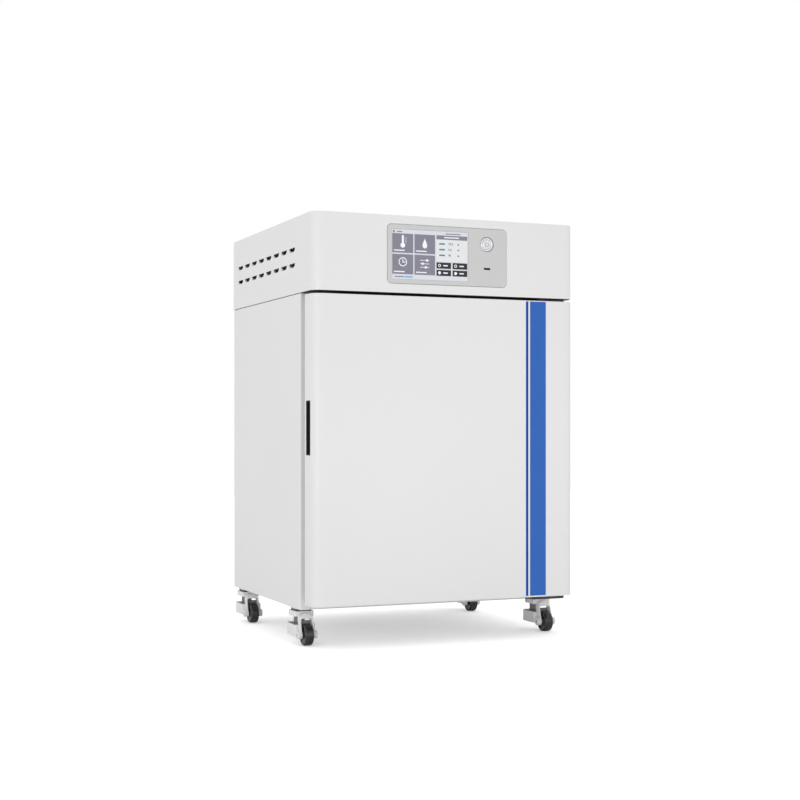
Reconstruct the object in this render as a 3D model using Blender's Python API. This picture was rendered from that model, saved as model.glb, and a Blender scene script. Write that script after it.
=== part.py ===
"""Carbon dioxide incubator of the 80 litre class, on four levelling casters.

Every size is in metres. The model stands on z = 0 and faces -Y. Shapes are drawn in the frame of the
"front_plane" empty: x from the middle of the cabinet, y as the depth behind the front faces of the door
and the cover, z above the floor.
"""

import math

import bmesh
import bpy
from mathutils import Vector

# General
SHEET = 0.0015  # sheet metal of the cabinet, cover and door
FIT = 0.0003  # gap between pieces that touch
RUNNING = 0.00008  # radial clearance of a shaft in its bore
OVERCUT = 0.004  # how far a cutter passes the face it enters
ROUND_STEPS = 20  # facets of a full circle
CORNER_STEPS = 4  # facets of a quarter circle
FRONT_STEPS = 8  # facets of the wide front corners of the door and the cover
CASTER_STEPS = 16  # facets of a circle on the casters

# Casters
WHEEL_RADIUS = 0.022
WHEEL_WIDTH = 0.019
WHEEL_TREAD = 0.012
WHEEL_RECESS = 0.002
WHEEL_CLEARANCE = 0.00225
AXLE_RADIUS = 0.003
LEG_THICKNESS = 0.0032  # wall of the fork beside the wheel
LEG_DEPTH = 0.0165  # fore-and-aft depth of a leg at the axle
LEG_LEAN = 0.012  # how far the legs lean back towards the swivel axis
ARCH_DEPTH = 0.014  # fore-and-aft depth at the top of the fork
ARCH_HEIGHT = 0.0105  # from the wheel up to the underside of the arch
ARCH_CROWN = 0.0105
ARCH_RADIUS = 0.009
BOSS_RADIUS = 0.0082
BOSS_SPAN = 0.043
CROWN_WIDTH = 0.042  # block under the mounting plate that turns with the fork
CROWN_DEPTH = 0.044
CROWN_HEIGHT = 0.0105
CROWN_LIFT = 0.058  # underside of the crown above the floor
CROWN_CORNER = 0.005
CROWN_FLOOR = 0.002  # left under the pivot's socket
PIVOT_RADIUS = 0.010
PLATE_THICKNESS = 0.0059
PLATE_INSET = 0.003  # plate within the crown's outline, on each side
HOUSING_WIDTH = 0.045
HOUSING_DEPTH = 0.054
HOUSING_HEIGHT = 0.0245
HOUSING_LIFT = 0.018  # underside of the housing above the floor
HOUSING_CORNER = 0.004
WEB_HEIGHT = 0.007  # wall on the housing that ties the legs behind the wheel
WEB_DEPTH = 0.005
WEB_SETBACK = 0.0025  # from the front of the housing
NECK_RADIUS = 0.0115
NECK_OFFSET = 0.012  # column behind the swivel axis, over the foot's stem
FOOT_STEM_RADIUS = 0.005
FOOT_STEM = 0.028
FOOT_PAD_HEIGHT = 0.0075
FOOT_PROUD = 0.0015  # how far the drawn-in pad stands below its housing
FOOT_MARGIN = 0.0045  # wall of the housing round the pad
FOOT_FRONT = 0.0085  # front of the pad before the swivel axis
CASTER_TRAIL = 0.036
CASTER_SIDE = 0.0195  # cabinet side to swivel axis
CASTER_FRONT_INSET = 0.0535
CASTER_REAR_INSET = 0.0485

# Cabinet
CABINET_WIDTH = 0.588
CABINET_HEIGHT = 0.642
CABINET_DEPTH = 0.481
FRAME_THICKNESS = 0.0147
FRAME_INSET = 0.0095
FLANGE = 0.020  # returned front edge of the cabinet sheet
BASE_UPSTAND = 0.022
OVERHANG = 0.0008  # how far the cover and door stand past the cabinet sides

# Chamber
CHAMBER_SIDE = 0.094  # wall of the cabinet beside the chamber
CHAMBER_LIFT = 0.066  # foam under the chamber
CHAMBER_ROOF = 0.076
CHAMBER_REAR = 0.096
CHAMBER_RADIUS = 0.025
CHAMBER_FLANGE = 0.012
SEAL_THICKNESS = 0.005
SEAL_WIDTH = 0.008
SEAL_OFFSET = 0.003

# Shelves, rails and humidity tray
SHELF_COUNT = 3
SHELF_FIRST = 0.099  # first shelf above the chamber floor
SHELF_HEADROOM = 0.161  # last shelf to the chamber roof
SHELF_SHEET = 0.0012
SHELF_REAR = 0.015
SHELF_SETBACK = 0.025  # shelf behind the front of the chamber
SHELF_SIDE_GAP = 0.002
SHELF_LIP = 0.010
SLOT_ROWS = 5
SLOT_COLUMNS = 4
SLOT_BRIDGE = 0.016  # sheet left between two slots of a row
SLOT_WIDTH = 0.012
RAIL_LEDGE = 0.012
RAIL_REAR = 0.020
RAIL_SETBACK = 0.030
RAIL_MARGIN = 0.060  # rail sheet above the last ledge and below the first
RAIL_BAND = 0.025  # rail sheet between a ledge and a window
TRAY_SIDE = 0.030
TRAY_REAR = 0.040
TRAY_HEIGHT = 0.0285
TRAY_SETBACK = 0.030
TRAY_RADIUS = 0.012

# Fan, sensor and gas line
FAN_RADIUS = 0.058
FAN_HEIGHT = 0.018
FAN_BLADES = 9
FAN_DISC = 0.0015
FAN_BLADE = 0.0016
FAN_HUB_RADIUS = 0.011
FAN_DROP = 0.014  # roof of the chamber to the fan disc
FAN_SWEEP = 0.9  # angle in radians that a blade turns through
FAN_BLADE_STEPS = 3
SHAFT_RADIUS = 0.003
SHAFT_GRIP = 0.022
SHAFT_HOLE = 0.006
MOTOR_RADIUS = 0.030
MOTOR_HEIGHT = 0.046
DUCT_SIDE = 0.070  # chamber wall to the duct
DUCT_END = 0.040
DUCT_HEIGHT = 0.045
DUCT_SLOTS = 12
DUCT_SLOT_INNER = 0.018
DUCT_SLOT_OUTER = 0.048
DUCT_SLOT_WIDTH = 0.005
SENSOR_RADIUS = 0.011
SENSOR_LENGTH = 0.050
SENSOR_SIDE = 0.040  # chamber wall to the sensor's axis
SENSOR_REAR = 0.130
TUBE_RADIUS = 0.003
TUBE_SIDE = 0.050  # chamber wall to the tube's axis
TUBE_REAR = 0.030
TUBE_DROP = 0.006

# Door
DOOR_THICKNESS = 0.0462
DOOR_LIFT = 0.0125  # underside of the cabinet to the door
DOOR_GAP = 0.005  # door to cover
CORNER_RADIUS = 0.022
LINER_SHEET = 0.002
DISH_DEPTH = 0.020
DISH_SIDE = 0.026  # glass door's edge to the side of the dish
DISH_MARGIN = 0.0315  # door edge to the dish, above and below
DISH_RADIUS = 0.020
GASKET_THICKNESS = 0.0132
GASKET_WIDTH = 0.017
GASKET_INSET = 0.010
GASKET_HINGE_GAP = 0.0006  # gasket to the plane of the hinge axis
HANDLE_DEPTH = 0.0168
HANDLE_WIDTH = 0.0189
HANDLE_LIFT = 0.3035  # foot of the door to the pull
HANDLE_LENGTH = 0.106
HANDLE_REACH = 0.022
HANDLE_WALL = 0.0015
STRIPE_FILM = 0.0005
STRIPE_MARGIN = 0.0043
STRIPE_EDGE = 0.0680  # right edge of the door to the wide stripe's right edge
STRIPE_WIDE = 0.0373
STRIPE_SPACE = 0.0042
STRIPE_NARROW = 0.0055

# Door hinges
PIN_RADIUS = 0.004
PIN_LENGTH = 0.0165
BUSH_RADIUS = 0.009
BUSH_LENGTH = 0.016
BRACKET_WIDTH = 0.063
BRACKET_NOSE = 0.008
BRACKET_FOOT = 0.003
LOWER_BRACKET = 0.0067
UPPER_BRACKET = 0.0034

# Glass door
GLASS_THICKNESS = 0.004
GLASS_MARGIN = 0.016
GLASS_RADIUS = 0.020
KNUCKLE_RADIUS = 0.004
KNUCKLE_HEIGHT = 0.020
KNUCKLE_OFFSET = 0.0105  # glass edge to hinge axis
GLASS_PIN_RADIUS = 0.002
GLASS_HINGE_INSET = 0.070  # chamber floor or roof to the middle of a hinge
STILE_WALL = 0.0015
STILE_REACH = 0.018  # how far the profile covers the front of the pane
STILE_LIP = 0.0035
LUG_THICKNESS = 0.0036
LATCH_INSET = 0.018  # glass edge to latch axis
LATCH_STEM_RADIUS = 0.004
KNOB_RADIUS = 0.013
KNOB_DEPTH = 0.0125
TONGUE_LENGTH = 0.032
TONGUE_WIDTH = 0.010
TONGUE_THICKNESS = 0.003
KEEPER_WALL = 0.0025
KEEPER_WIDTH = 0.016
KEEPER_HEIGHT = 0.020
KEEPER_PLAY = 0.002

# Cover and control panel
COVER_HEIGHT = 0.1577
COVER_REAR = 0.002  # cover past the back of the cabinet
LOUVRES = 8
LOUVRE_LENGTH = 0.035
LOUVRE_HEIGHT = 0.008
LOUVRE_DEPTH = 0.006
LOUVRE_FIRST = 0.108  # depth of the first louvre
LOUVRE_REAR = 0.0426  # last louvre to the back of the cover
LOUVRE_ROWS = (0.0642, 0.0962)  # lower and upper row above the seam
LOUVRE_TAPER = 0.14  # share of the length over which each end rises
LOUVRE_END = 0.35  # share of the height left at each end
PANEL_WIDTH = 0.268
PANEL_HEIGHT = 0.120
PANEL_LIFT = 0.0197  # foot of the panel above the cover's edge
PANEL_RADIUS = 0.0095
PANEL_PROUD = 0.0006
PANEL_BODY = 0.010
PANEL_FLANGE = 0.004
SCREEN_WIDTH = 0.169
SCREEN_HEIGHT = 0.1013
SCREEN_INSET_X = 0.0102
SCREEN_INSET_Z = 0.0089
SCREEN_THICKNESS = 0.003
SCREEN_LEDGE = 0.003
BUTTON_INSET = 0.0452  # right edge of the panel to the button's axis
BUTTON_LIFT = 0.0878  # above the foot of the panel
BUTTON_RADIUS = 0.010
BUTTON_RING_RADIUS = 0.0155
BUTTON_RING_DEPTH = 0.0036
BUTTON_TRAVEL = 0.0015
BUTTON_CAP = 0.006
BUTTON_STEM_RADIUS = 0.003
BUTTON_STEM = 0.0165
PORT_Z = 0.0371
PORT_WIDTH = 0.0147
PORT_HEIGHT = 0.0043
PORT_DEPTH = 0.012
PORT_WALL = 0.0005
BOARD_THICKNESS = 0.0016
BOARD_MARGIN = 0.012
PILLAR_RADIUS = 0.003
CHIP_HEIGHT = 0.002
SUPPLY_SIZE = (0.160, 0.110, 0.045)
SUPPLY_SIDE = 0.065  # side of the cover to the supply unit
SUPPLY_REAR = 0.123
SUPPLY_FOOT = 0.008
VALVE_SIZE = 0.030
VALVE_LIFT = 0.060
COIL_RADIUS = 0.012
COIL_HEIGHT = 0.028
BARB_LENGTH = 0.022
BARB_RADIUS = 0.0045
BARB_NUT_RADIUS = 0.009
BARB_NUT = 0.005
INLET_SIDE = 0.095  # side of the cover to the inlet's middle
INLET_LIFT = 0.060
INLET_EAR = 0.010  # screw ear on each side of the inlet's body
INLET_WIDTH = 0.0475
INLET_HEIGHT = 0.0275
INLET_FLANGE = 0.003
INLET_BODY = 0.022
INLET_POCKET = 0.016
BLADE_LENGTH = 0.014
BLADE_PITCH = 0.0065
BLADE_OFFSET = 0.003
BLADE_WIDTH = 0.002
BLADE_HEIGHT = 0.004

# Levels worked out from the sizes above
ARCH_LOW = 2 * WHEEL_RADIUS + ARCH_HEIGHT
ARCH_TOP = ARCH_LOW + ARCH_CROWN
CROWN_TOP = CROWN_LIFT + CROWN_HEIGHT
PLATE_LOW = CROWN_TOP + FIT
CASTER_TOP = PLATE_LOW + PLATE_THICKNESS
HOUSING_TOP = HOUSING_LIFT + HOUSING_HEIGHT
FOOT_LOW = HOUSING_LIFT - FOOT_PROUD
FOOT_TOP = FOOT_LOW + FOOT_PAD_HEIGHT
UNDERSIDE = CASTER_TOP + FIT
SEAM = UNDERSIDE + CABINET_HEIGHT
COVER_LOW = SEAM + FIT
COVER_TOP = COVER_LOW + COVER_HEIGHT
DOOR_LOW = UNDERSIDE + DOOR_LIFT
DOOR_TOP = SEAM - DOOR_GAP
CHAMBER_LOW = UNDERSIDE + CHAMBER_LIFT
CHAMBER_TOP = SEAM - CHAMBER_ROOF
CHAMBER_MIDDLE = (CHAMBER_LOW + CHAMBER_TOP) / 2
DECK_LOW = COVER_LOW + FIT
DECK_TOP = DECK_LOW + SHEET
PANEL_LOW = COVER_LOW + PANEL_LIFT

# Depths worked out from the sizes above
FRAME_FRONT = DOOR_THICKNESS + GASKET_THICKNESS + 2 * FIT
FRAME_BACK = FRAME_FRONT + FRAME_THICKNESS
CABINET_FRONT = FRAME_BACK + FIT
CABINET_BACK = CABINET_FRONT + CABINET_DEPTH
CHAMBER_BACK = CABINET_BACK - CHAMBER_REAR
CHAMBER_DEPTH = CHAMBER_BACK - FRAME_FRONT
COVER_BACK = CABINET_BACK + COVER_REAR
CASTER_FRONT = CABINET_FRONT + CASTER_FRONT_INSET
CASTER_REAR = CABINET_BACK - CASTER_REAR_INSET
TUBE_DEPTH = CHAMBER_BACK - TUBE_REAR
LOUVRE_PITCH = (COVER_BACK - LOUVRE_REAR - LOUVRE_LENGTH - LOUVRE_FIRST) / (LOUVRES - 1)
SHELF_SPACING = (CHAMBER_TOP - SHELF_HEADROOM - CHAMBER_LOW - SHELF_FIRST) / (SHELF_COUNT - 1)
SHELF_DEPTH = CHAMBER_DEPTH - SHELF_SETBACK - SHELF_REAR
RAIL_DEPTH = CHAMBER_DEPTH - RAIL_SETBACK - RAIL_REAR
GLASS_BACK = FRAME_FRONT - 2 * FIT - SEAL_THICKNESS
GLASS_FRONT = GLASS_BACK - GLASS_THICKNESS
GLASS_AXIS_Y = (GLASS_FRONT + GLASS_BACK) / 2
BACK_REACH = COVER_BACK + BARB_LENGTH

# Widths worked out from the sizes above
CABINET_HALF = CABINET_WIDTH / 2
COVER_HALF = CABINET_HALF + OVERHANG
INNER_HALF = CABINET_HALF - SHEET - FIT
CHAMBER_HALF = CABINET_HALF - CHAMBER_SIDE
FRAME_HALF = CABINET_HALF - FRAME_INSET
GLASS_HALF = CHAMBER_HALF + GLASS_MARGIN
HINGE_X = COVER_HALF - CORNER_RADIUS
HINGE_Y = CORNER_RADIUS
GLASS_HINGE_X = GLASS_HALF + KNUCKLE_OFFSET
LATCH_X = -GLASS_HALF + LATCH_INSET
TUBE_X = CHAMBER_HALF - TUBE_SIDE
BUTTON_X = PANEL_WIDTH / 2 - BUTTON_INSET
INLET_X = INLET_SIDE - COVER_HALF
STRIPE_WIDE_X = COVER_HALF - STRIPE_EDGE - STRIPE_WIDE
STRIPE_NARROW_X = STRIPE_WIDE_X - STRIPE_SPACE - STRIPE_NARROW
FAN_Y = FRAME_FRONT + CHAMBER_DEPTH / 2
FRONT_PLANE_Y = (PANEL_PROUD - BACK_REACH) / 2  # puts the middle of the overall depth at y = 0

# Finishes: colour, roughness and metallic value
WHITE_PAINT = ("white_paint", (0.80, 0.80, 0.79), 0.45, 0.0)
DARK_PAINT = ("dark_paint", (0.05, 0.05, 0.055), 0.5, 0.0)
GREY_PAINT = ("grey_paint", (0.70, 0.70, 0.70), 0.5, 0.0)
GREY_PLASTIC = ("grey_plastic", (0.60, 0.60, 0.60), 0.45, 0.0)
WHITE_PLASTIC = ("white_plastic", (0.78, 0.79, 0.79), 0.4, 0.0)
BLACK_PLASTIC = ("black_plastic", (0.02, 0.02, 0.02), 0.5, 0.0)
STEEL = ("stainless_steel", (0.62, 0.62, 0.63), 0.28, 1.0)
ZINC = ("zinc_plated_steel", (0.68, 0.69, 0.70), 0.35, 1.0)
CHROME = ("satin_chrome", (0.75, 0.75, 0.76), 0.2, 1.0)
BRASS = ("nickel_plated_brass", (0.70, 0.66, 0.55), 0.3, 1.0)
RUBBER = ("dark_rubber", (0.07, 0.07, 0.075), 0.8, 0.0)
SILICONE = ("silicone", (0.75, 0.76, 0.76), 0.6, 0.0)
TREAD = ("wheel_polymer", (0.04, 0.04, 0.04), 0.6, 0.0)
GLASS = ("clear_glass", (0.85, 0.92, 0.92), 0.05, 0.0)
SCREEN = ("screen_glass", (0.62, 0.66, 0.74), 0.1, 0.0)
BLUE_FILM = ("blue_film", (0.05, 0.14, 0.45), 0.4, 0.0)
FOAM = ("foam", (0.78, 0.72, 0.50), 0.9, 0.0)
BOARD = ("circuit_board", (0.02, 0.22, 0.10), 0.5, 0.0)


# Drawing tools


def rounded(u, v, radii, steps=CORNER_STEPS):
    """Outline of a rectangle over the ranges u and v, with one radius or one for each corner in turn."""
    if isinstance(radii, (int, float)):
        radii = (radii,) * 4
    corners = ((u[0], v[0], 1, 1), (u[1], v[0], -1, 1), (u[1], v[1], -1, -1), (u[0], v[1], 1, -1))
    outline = []
    for index, ((cu, cv, su, sv), radius) in enumerate(zip(corners, radii)):
        if radius == 0:
            outline.append((cu, cv))
            continue
        start = math.pi + index * math.pi / 2
        for step in range(steps + 1):
            angle = start + step * math.pi / 2 / steps
            point_u = cu + su * radius + radius * math.cos(angle)
            point_v = cv + sv * radius + radius * math.sin(angle)
            outline.append((point_u, point_v))
    return outline


def circle(centre, radius, steps=ROUND_STEPS):
    """Outline of a circle."""
    angles = [2 * math.pi * (step + 0.5) / steps for step in range(steps)]
    return [(centre[0] + radius * math.cos(a), centre[1] + radius * math.sin(a)) for a in angles]


def on_axis(axis, u, v, along):
    """The point at u, v across the axis and at a distance along it."""
    order = {"X": (along, u, v), "Y": (u, along, v), "Z": (u, v, along)}
    return Vector(order[axis])


def prism(outline, axis, low, high):
    """Solid of an outline carried along an axis."""
    shape = bmesh.new()
    face = shape.faces.new([shape.verts.new(on_axis(axis, u, v, low)) for u, v in outline])
    grown = bmesh.ops.extrude_face_region(shape, geom=[face])
    top = [item for item in grown["geom"] if isinstance(item, bmesh.types.BMVert)]
    bmesh.ops.translate(shape, verts=top, vec=on_axis(axis, 0, 0, high - low))
    bmesh.ops.recalc_face_normals(shape, faces=shape.faces[:])
    return shape


def block(x, y, z):
    """Box over three ranges."""
    return prism([(x[0], y[0]), (x[1], y[0]), (x[1], y[1]), (x[0], y[1])], "Z", z[0], z[1])


def rod(axis, centre, radius, low, high, steps=ROUND_STEPS):
    """Cylinder along an axis."""
    return prism(circle(centre, radius, steps), axis, low, high)


def turned(profile, axis, centre, steps=ROUND_STEPS, ring=False):
    """Solid of (radius, along) points turned about an axis; a ring's profile closes on itself."""
    shape = bmesh.new()
    base = on_axis(axis, centre[0], centre[1], 0)
    verts = [shape.verts.new(base + on_axis(axis, radius, 0, along)) for radius, along in profile]
    pairs = list(zip(verts, verts[1:]))
    if ring:
        pairs.append((verts[-1], verts[0]))
    edges = [shape.edges.new(pair) for pair in pairs]
    bmesh.ops.spin(
        shape, geom=verts + edges, cent=base, axis=on_axis(axis, 0, 0, 1), angle=2 * math.pi, steps=steps,
        use_merge=True,
    )
    bmesh.ops.remove_doubles(shape, verts=shape.verts[:], dist=0.000001)
    bare = [edge for edge in shape.edges if not edge.link_faces]
    bmesh.ops.delete(shape, geom=bare, context="EDGES")
    bmesh.ops.recalc_face_normals(shape, faces=shape.faces[:])
    return shape


def loft(sections):
    """Solid through a row of closed sections with the same number of points."""
    shape = bmesh.new()
    rings = [[shape.verts.new(point) for point in section] for section in sections]
    shape.faces.new(rings[0])
    shape.faces.new(rings[-1])
    for ring, following in zip(rings, rings[1:]):
        for index in range(len(ring)):
            after = (index + 1) % len(ring)
            shape.faces.new((ring[index], ring[after], following[after], following[index]))
    bmesh.ops.recalc_face_normals(shape, faces=shape.faces[:])
    return shape


def gathered(shapes):
    """Several shapes that don't touch, as one."""
    whole = bmesh.new()
    for shape in shapes:
        mesh = bpy.data.meshes.new("gathered")
        shape.to_mesh(mesh)
        whole.from_mesh(mesh)
        bpy.data.meshes.remove(mesh)
    return whole


def work_object(shape):
    """A passing object that holds a shape while a Boolean reads it."""
    mesh = bpy.data.meshes.new("work")
    shape.to_mesh(mesh)
    worker = bpy.data.objects.new("work", mesh)
    bpy.context.scene.collection.objects.link(worker)
    return worker


def combined(shape, tools, operation):
    """The shape after exact Booleans with each tool in turn."""
    host = work_object(shape)
    workers = [host]
    for tool in tools:
        worker = work_object(tool)
        workers.append(worker)
        modifier = host.modifiers.new("boolean", "BOOLEAN")
        modifier.operation = operation
        modifier.solver = "EXACT"
        modifier.object = worker
    evaluated = host.evaluated_get(bpy.context.evaluated_depsgraph_get())
    result = bmesh.new()
    result.from_mesh(evaluated.to_mesh())
    evaluated.to_mesh_clear()
    for worker in workers:
        mesh = worker.data
        bpy.data.objects.remove(worker)
        bpy.data.meshes.remove(mesh)
    return result


def cut(shape, *tools):
    """The shape less its tools."""
    return combined(shape, tools, "DIFFERENCE")


def fused(shape, *tools):
    """The shape joined with its tools."""
    return combined(shape, tools, "UNION")


def shared(shape, tool):
    """What the shape and the tool have in common."""
    return combined(shape, (tool,), "INTERSECT")


# Placing and finishing


def clear_scene():
    """Removes every object of the scene."""
    for existing in list(bpy.data.objects):
        bpy.data.objects.remove(existing, do_unlink=True)


def material_of(finish):
    """The Principled material of a finish, made once."""
    name, colour, roughness, metallic = finish
    material = bpy.data.materials.get(name) or bpy.data.materials.new(name)
    material.use_nodes = True
    shader = material.node_tree.nodes["Principled BSDF"]
    shader.inputs["Base Color"].default_value = (*colour, 1.0)
    shader.inputs["Roughness"].default_value = roughness
    shader.inputs["Metallic"].default_value = metallic
    return material


class Seat:
    """An empty that carries pieces, with its place in the front plane's frame."""

    def __init__(self, name, place=(0, 0, 0), parent=None):
        self.place = Vector(place)
        self.empty = bpy.data.objects.new(name, None)
        bpy.context.scene.collection.objects.link(self.empty)
        if parent is None:
            self.empty.location = self.place
        else:
            self.empty.parent = parent.empty
            self.empty.location = self.place - parent.place


def piece(name, shape, finish, seat, drawn_in_place=True):
    """One sub-part: a named object with its material, carried by a seat."""
    if drawn_in_place:
        bmesh.ops.translate(shape, verts=shape.verts[:], vec=-seat.place)
    mesh = bpy.data.meshes.new(name)
    shape.to_mesh(mesh)
    shape.free()
    mesh.materials.append(material_of(finish))
    mesh.shade_smooth()
    mesh.set_sharp_from_angle(angle=math.radians(35))
    carried = bpy.data.objects.new(name, mesh)
    bpy.context.scene.collection.objects.link(carried)
    carried.parent = seat.empty
    return carried


def copied(name, original, seat):
    """A repeated piece that shares its mesh with the first one."""
    carried = bpy.data.objects.new(name, original.data)
    bpy.context.scene.collection.objects.link(carried)
    carried.parent = seat.empty
    return carried


# Outlines that several pieces share


def front_outline(half, front, back, radius):
    """Plan of a box whose two front corners are round."""
    return rounded((-half, half), (front, back), (radius, radius, 0, 0), FRONT_STEPS)


def chamber_outline(grow):
    """Front view of the chamber opening, grown by a margin."""
    half = CHAMBER_HALF + grow
    return rounded((-half, half), (CHAMBER_LOW - grow, CHAMBER_TOP + grow), CHAMBER_RADIUS + grow)


def column(place, radius, low, high):
    """Upright clearance hole for what passes from the bay into the chamber."""
    return rod("Z", place, radius, low, high, steps=16)


def passages(low, high):
    """The holes for the fan shaft and the gas tube between two levels."""
    return gathered([
        column((0, FAN_Y), SHAFT_HOLE, low, high),
        column((TUBE_X, TUBE_DEPTH), TUBE_RADIUS + FIT, low, high),
    ])


# Cabinet


def cabinet_shell():
    """Sheet wrapped over the sides and top, with its front edges returned."""
    outer = block((-CABINET_HALF, CABINET_HALF), (CABINET_FRONT, CABINET_BACK), (UNDERSIDE, SEAM))
    inner_half = CABINET_HALF - SHEET
    inside = block(
        (-inner_half, inner_half), (CABINET_FRONT + SHEET, CABINET_BACK + OVERCUT),
        (UNDERSIDE - OVERCUT, SEAM - SHEET),
    )
    window_half = CABINET_HALF - FLANGE
    window = block(
        (-window_half, window_half), (CABINET_FRONT - OVERCUT, CABINET_FRONT + 2 * OVERCUT),
        (UNDERSIDE - OVERCUT, SEAM - FLANGE),
    )
    return cut(outer, inside, window, passages(SEAM - OVERCUT, SEAM + OVERCUT))


def base_pan():
    """Floor tray of the cabinet, which carries the casters."""
    front = CABINET_FRONT + SHEET + FIT
    back = CABINET_BACK - SHEET - FIT
    top = UNDERSIDE + BASE_UPSTAND
    outer = block((-INNER_HALF, INNER_HALF), (front, back), (UNDERSIDE, top))
    inner_half = INNER_HALF - SHEET
    inside = block(
        (-inner_half, inner_half), (front + SHEET, back - SHEET), (UNDERSIDE + SHEET, top + OVERCUT),
    )
    return cut(outer, inside)


def rear_panel():
    """Flat sheet that closes the back, with a pressed field."""
    low = UNDERSIDE + FIT
    high = SEAM - SHEET - FIT
    sheet = block((-INNER_HALF, INNER_HALF), (CABINET_BACK - SHEET, CABINET_BACK), (low, high))
    border = 2 * FLANGE
    field = prism(
        rounded((-INNER_HALF + border, INNER_HALF - border), (low + border, high - border), FLANGE),
        "Y", CABINET_BACK - SHEET / 2, CABINET_BACK + OVERCUT,
    )
    return cut(sheet, field)


def insulation():
    """Foam between the cabinet and the chamber."""
    side = INNER_HALF - SHEET - FIT
    front = CABINET_FRONT + 2 * (SHEET + FIT)
    back = CABINET_BACK - 2 * (SHEET + FIT)
    body = block((-side, side), (front, back), (UNDERSIDE + SHEET + FIT, SEAM - SHEET - FIT))
    hollow = prism(chamber_outline(SHEET + FIT), "Y", front - OVERCUT, CHAMBER_BACK + SHEET + FIT)
    return cut(body, hollow, passages(CHAMBER_TOP, SEAM))


def inner_chamber():
    """Deep-drawn liner with wide corners and a front flange."""
    wall = prism(chamber_outline(SHEET), "Y", FRAME_BACK + FIT, CHAMBER_BACK + SHEET)
    flange = prism(chamber_outline(CHAMBER_FLANGE), "Y", FRAME_BACK + FIT, FRAME_BACK + FIT + SHEET)
    hollow = prism(chamber_outline(0), "Y", FRAME_FRONT, CHAMBER_BACK)
    holes = passages(CHAMBER_TOP - OVERCUT, CHAMBER_TOP + OVERCUT)
    return cut(fused(wall, flange), hollow, holes)


def front_frame():
    """Moulded frame around the chamber mouth."""
    outline = rounded((-FRAME_HALF, FRAME_HALF), (DOOR_LOW + DOOR_GAP, DOOR_TOP - DOOR_GAP), 0)
    body = prism(outline, "Y", FRAME_FRONT, FRAME_BACK)
    return cut(body, prism(chamber_outline(0), "Y", FRAME_FRONT - OVERCUT, FRAME_BACK + OVERCUT))


def chamber_seal():
    """Silicone profile on which the glass door closes."""
    near = FRAME_FRONT - FIT - SEAL_THICKNESS
    far = FRAME_FRONT - FIT
    outer = prism(chamber_outline(SEAL_OFFSET + SEAL_WIDTH), "Y", near, far)
    return cut(outer, prism(chamber_outline(SEAL_OFFSET), "Y", near - OVERCUT, far + OVERCUT))


# Inside the chamber


def shelf_level(index):
    """Underside of a shelf."""
    return CHAMBER_LOW + SHELF_FIRST + index * SHELF_SPACING


def shelf_rail(side):
    """Side sheet with a folded ledge for each shelf and two windows between them."""
    front = FRAME_FRONT + RAIL_SETBACK
    outside = side * (CHAMBER_HALF - FIT)
    inside = side * (CHAMBER_HALF - FIT - SHELF_SHEET)
    wall = sorted((outside, inside))
    ledge = sorted((outside, side * (CHAMBER_HALF - FIT - SHELF_SHEET - RAIL_LEDGE)))
    low = shelf_level(0) - RAIL_MARGIN
    high = shelf_level(SHELF_COUNT - 1) + RAIL_MARGIN
    sheet = block(wall, (front, front + RAIL_DEPTH), (low, high))
    ledges = []
    for index in range(SHELF_COUNT):
        top = shelf_level(index) - FIT
        ledges.append(block(ledge, (front, front + RAIL_DEPTH), (top - SHELF_SHEET, top)))
    windows = []
    half = SHELF_SPACING / 2 - RAIL_BAND
    for index in range(SHELF_COUNT - 1):
        middle = shelf_level(index) + SHELF_SPACING / 2
        for share in (0.25, 0.75):
            centre = front + share * RAIL_DEPTH
            outline = rounded((centre - half, centre + half), (middle - half, middle + half), half / 2)
            windows.append(prism(outline, "X", wall[0] - FIT / 2, wall[1] + FIT / 2))
    return cut(fused(sheet, *ledges), gathered(windows))


def shelf(index):
    """Perforated sheet with a front lip turned down and a stop at the back turned up."""
    low = shelf_level(index)
    top = low + SHELF_SHEET
    half = CHAMBER_HALF - FIT - SHELF_SHEET - SHELF_SIDE_GAP
    lip_half = half - RAIL_LEDGE
    front = FRAME_FRONT + SHELF_SETBACK
    back = front + SHELF_DEPTH
    sheet = block((-half, half), (front, back), (low, top))
    lip = block((-lip_half, lip_half), (front, front + SHELF_SHEET), (low - SHELF_LIP, top))
    stop = block((-half, half), (back - SHELF_SHEET, back), (low, top + SHELF_LIP))
    slots = []
    column_pitch = 2 * lip_half / SLOT_COLUMNS
    slot_half = (column_pitch - SLOT_BRIDGE) / 2
    row_pitch = SHELF_DEPTH / (SLOT_ROWS + 1)
    for column_index in range(SLOT_COLUMNS):
        x = -lip_half + (column_index + 0.5) * column_pitch
        for row in range(SLOT_ROWS):
            y = front + (row + 1) * row_pitch
            slots.append(block(
                (x - slot_half, x + slot_half), (y - SLOT_WIDTH / 2, y + SLOT_WIDTH / 2),
                (low - OVERCUT, top + OVERCUT),
            ))
    return cut(fused(sheet, lip, stop), gathered(slots))


def water_tray():
    """Open humidity tray on the chamber floor."""
    low = CHAMBER_LOW + FIT
    half = CHAMBER_HALF - TRAY_SIDE
    front = FRAME_FRONT + TRAY_SETBACK
    back = CHAMBER_BACK - TRAY_REAR
    outer = rounded((-half, half), (front, back), TRAY_RADIUS)
    inner = rounded(
        (-half + SHELF_SHEET, half - SHELF_SHEET), (front + SHELF_SHEET, back - SHELF_SHEET),
        TRAY_RADIUS - SHELF_SHEET,
    )
    body = prism(outer, "Z", low, low + TRAY_HEIGHT)
    return cut(body, prism(inner, "Z", low + SHELF_SHEET, low + TRAY_HEIGHT + OVERCUT))


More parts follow.
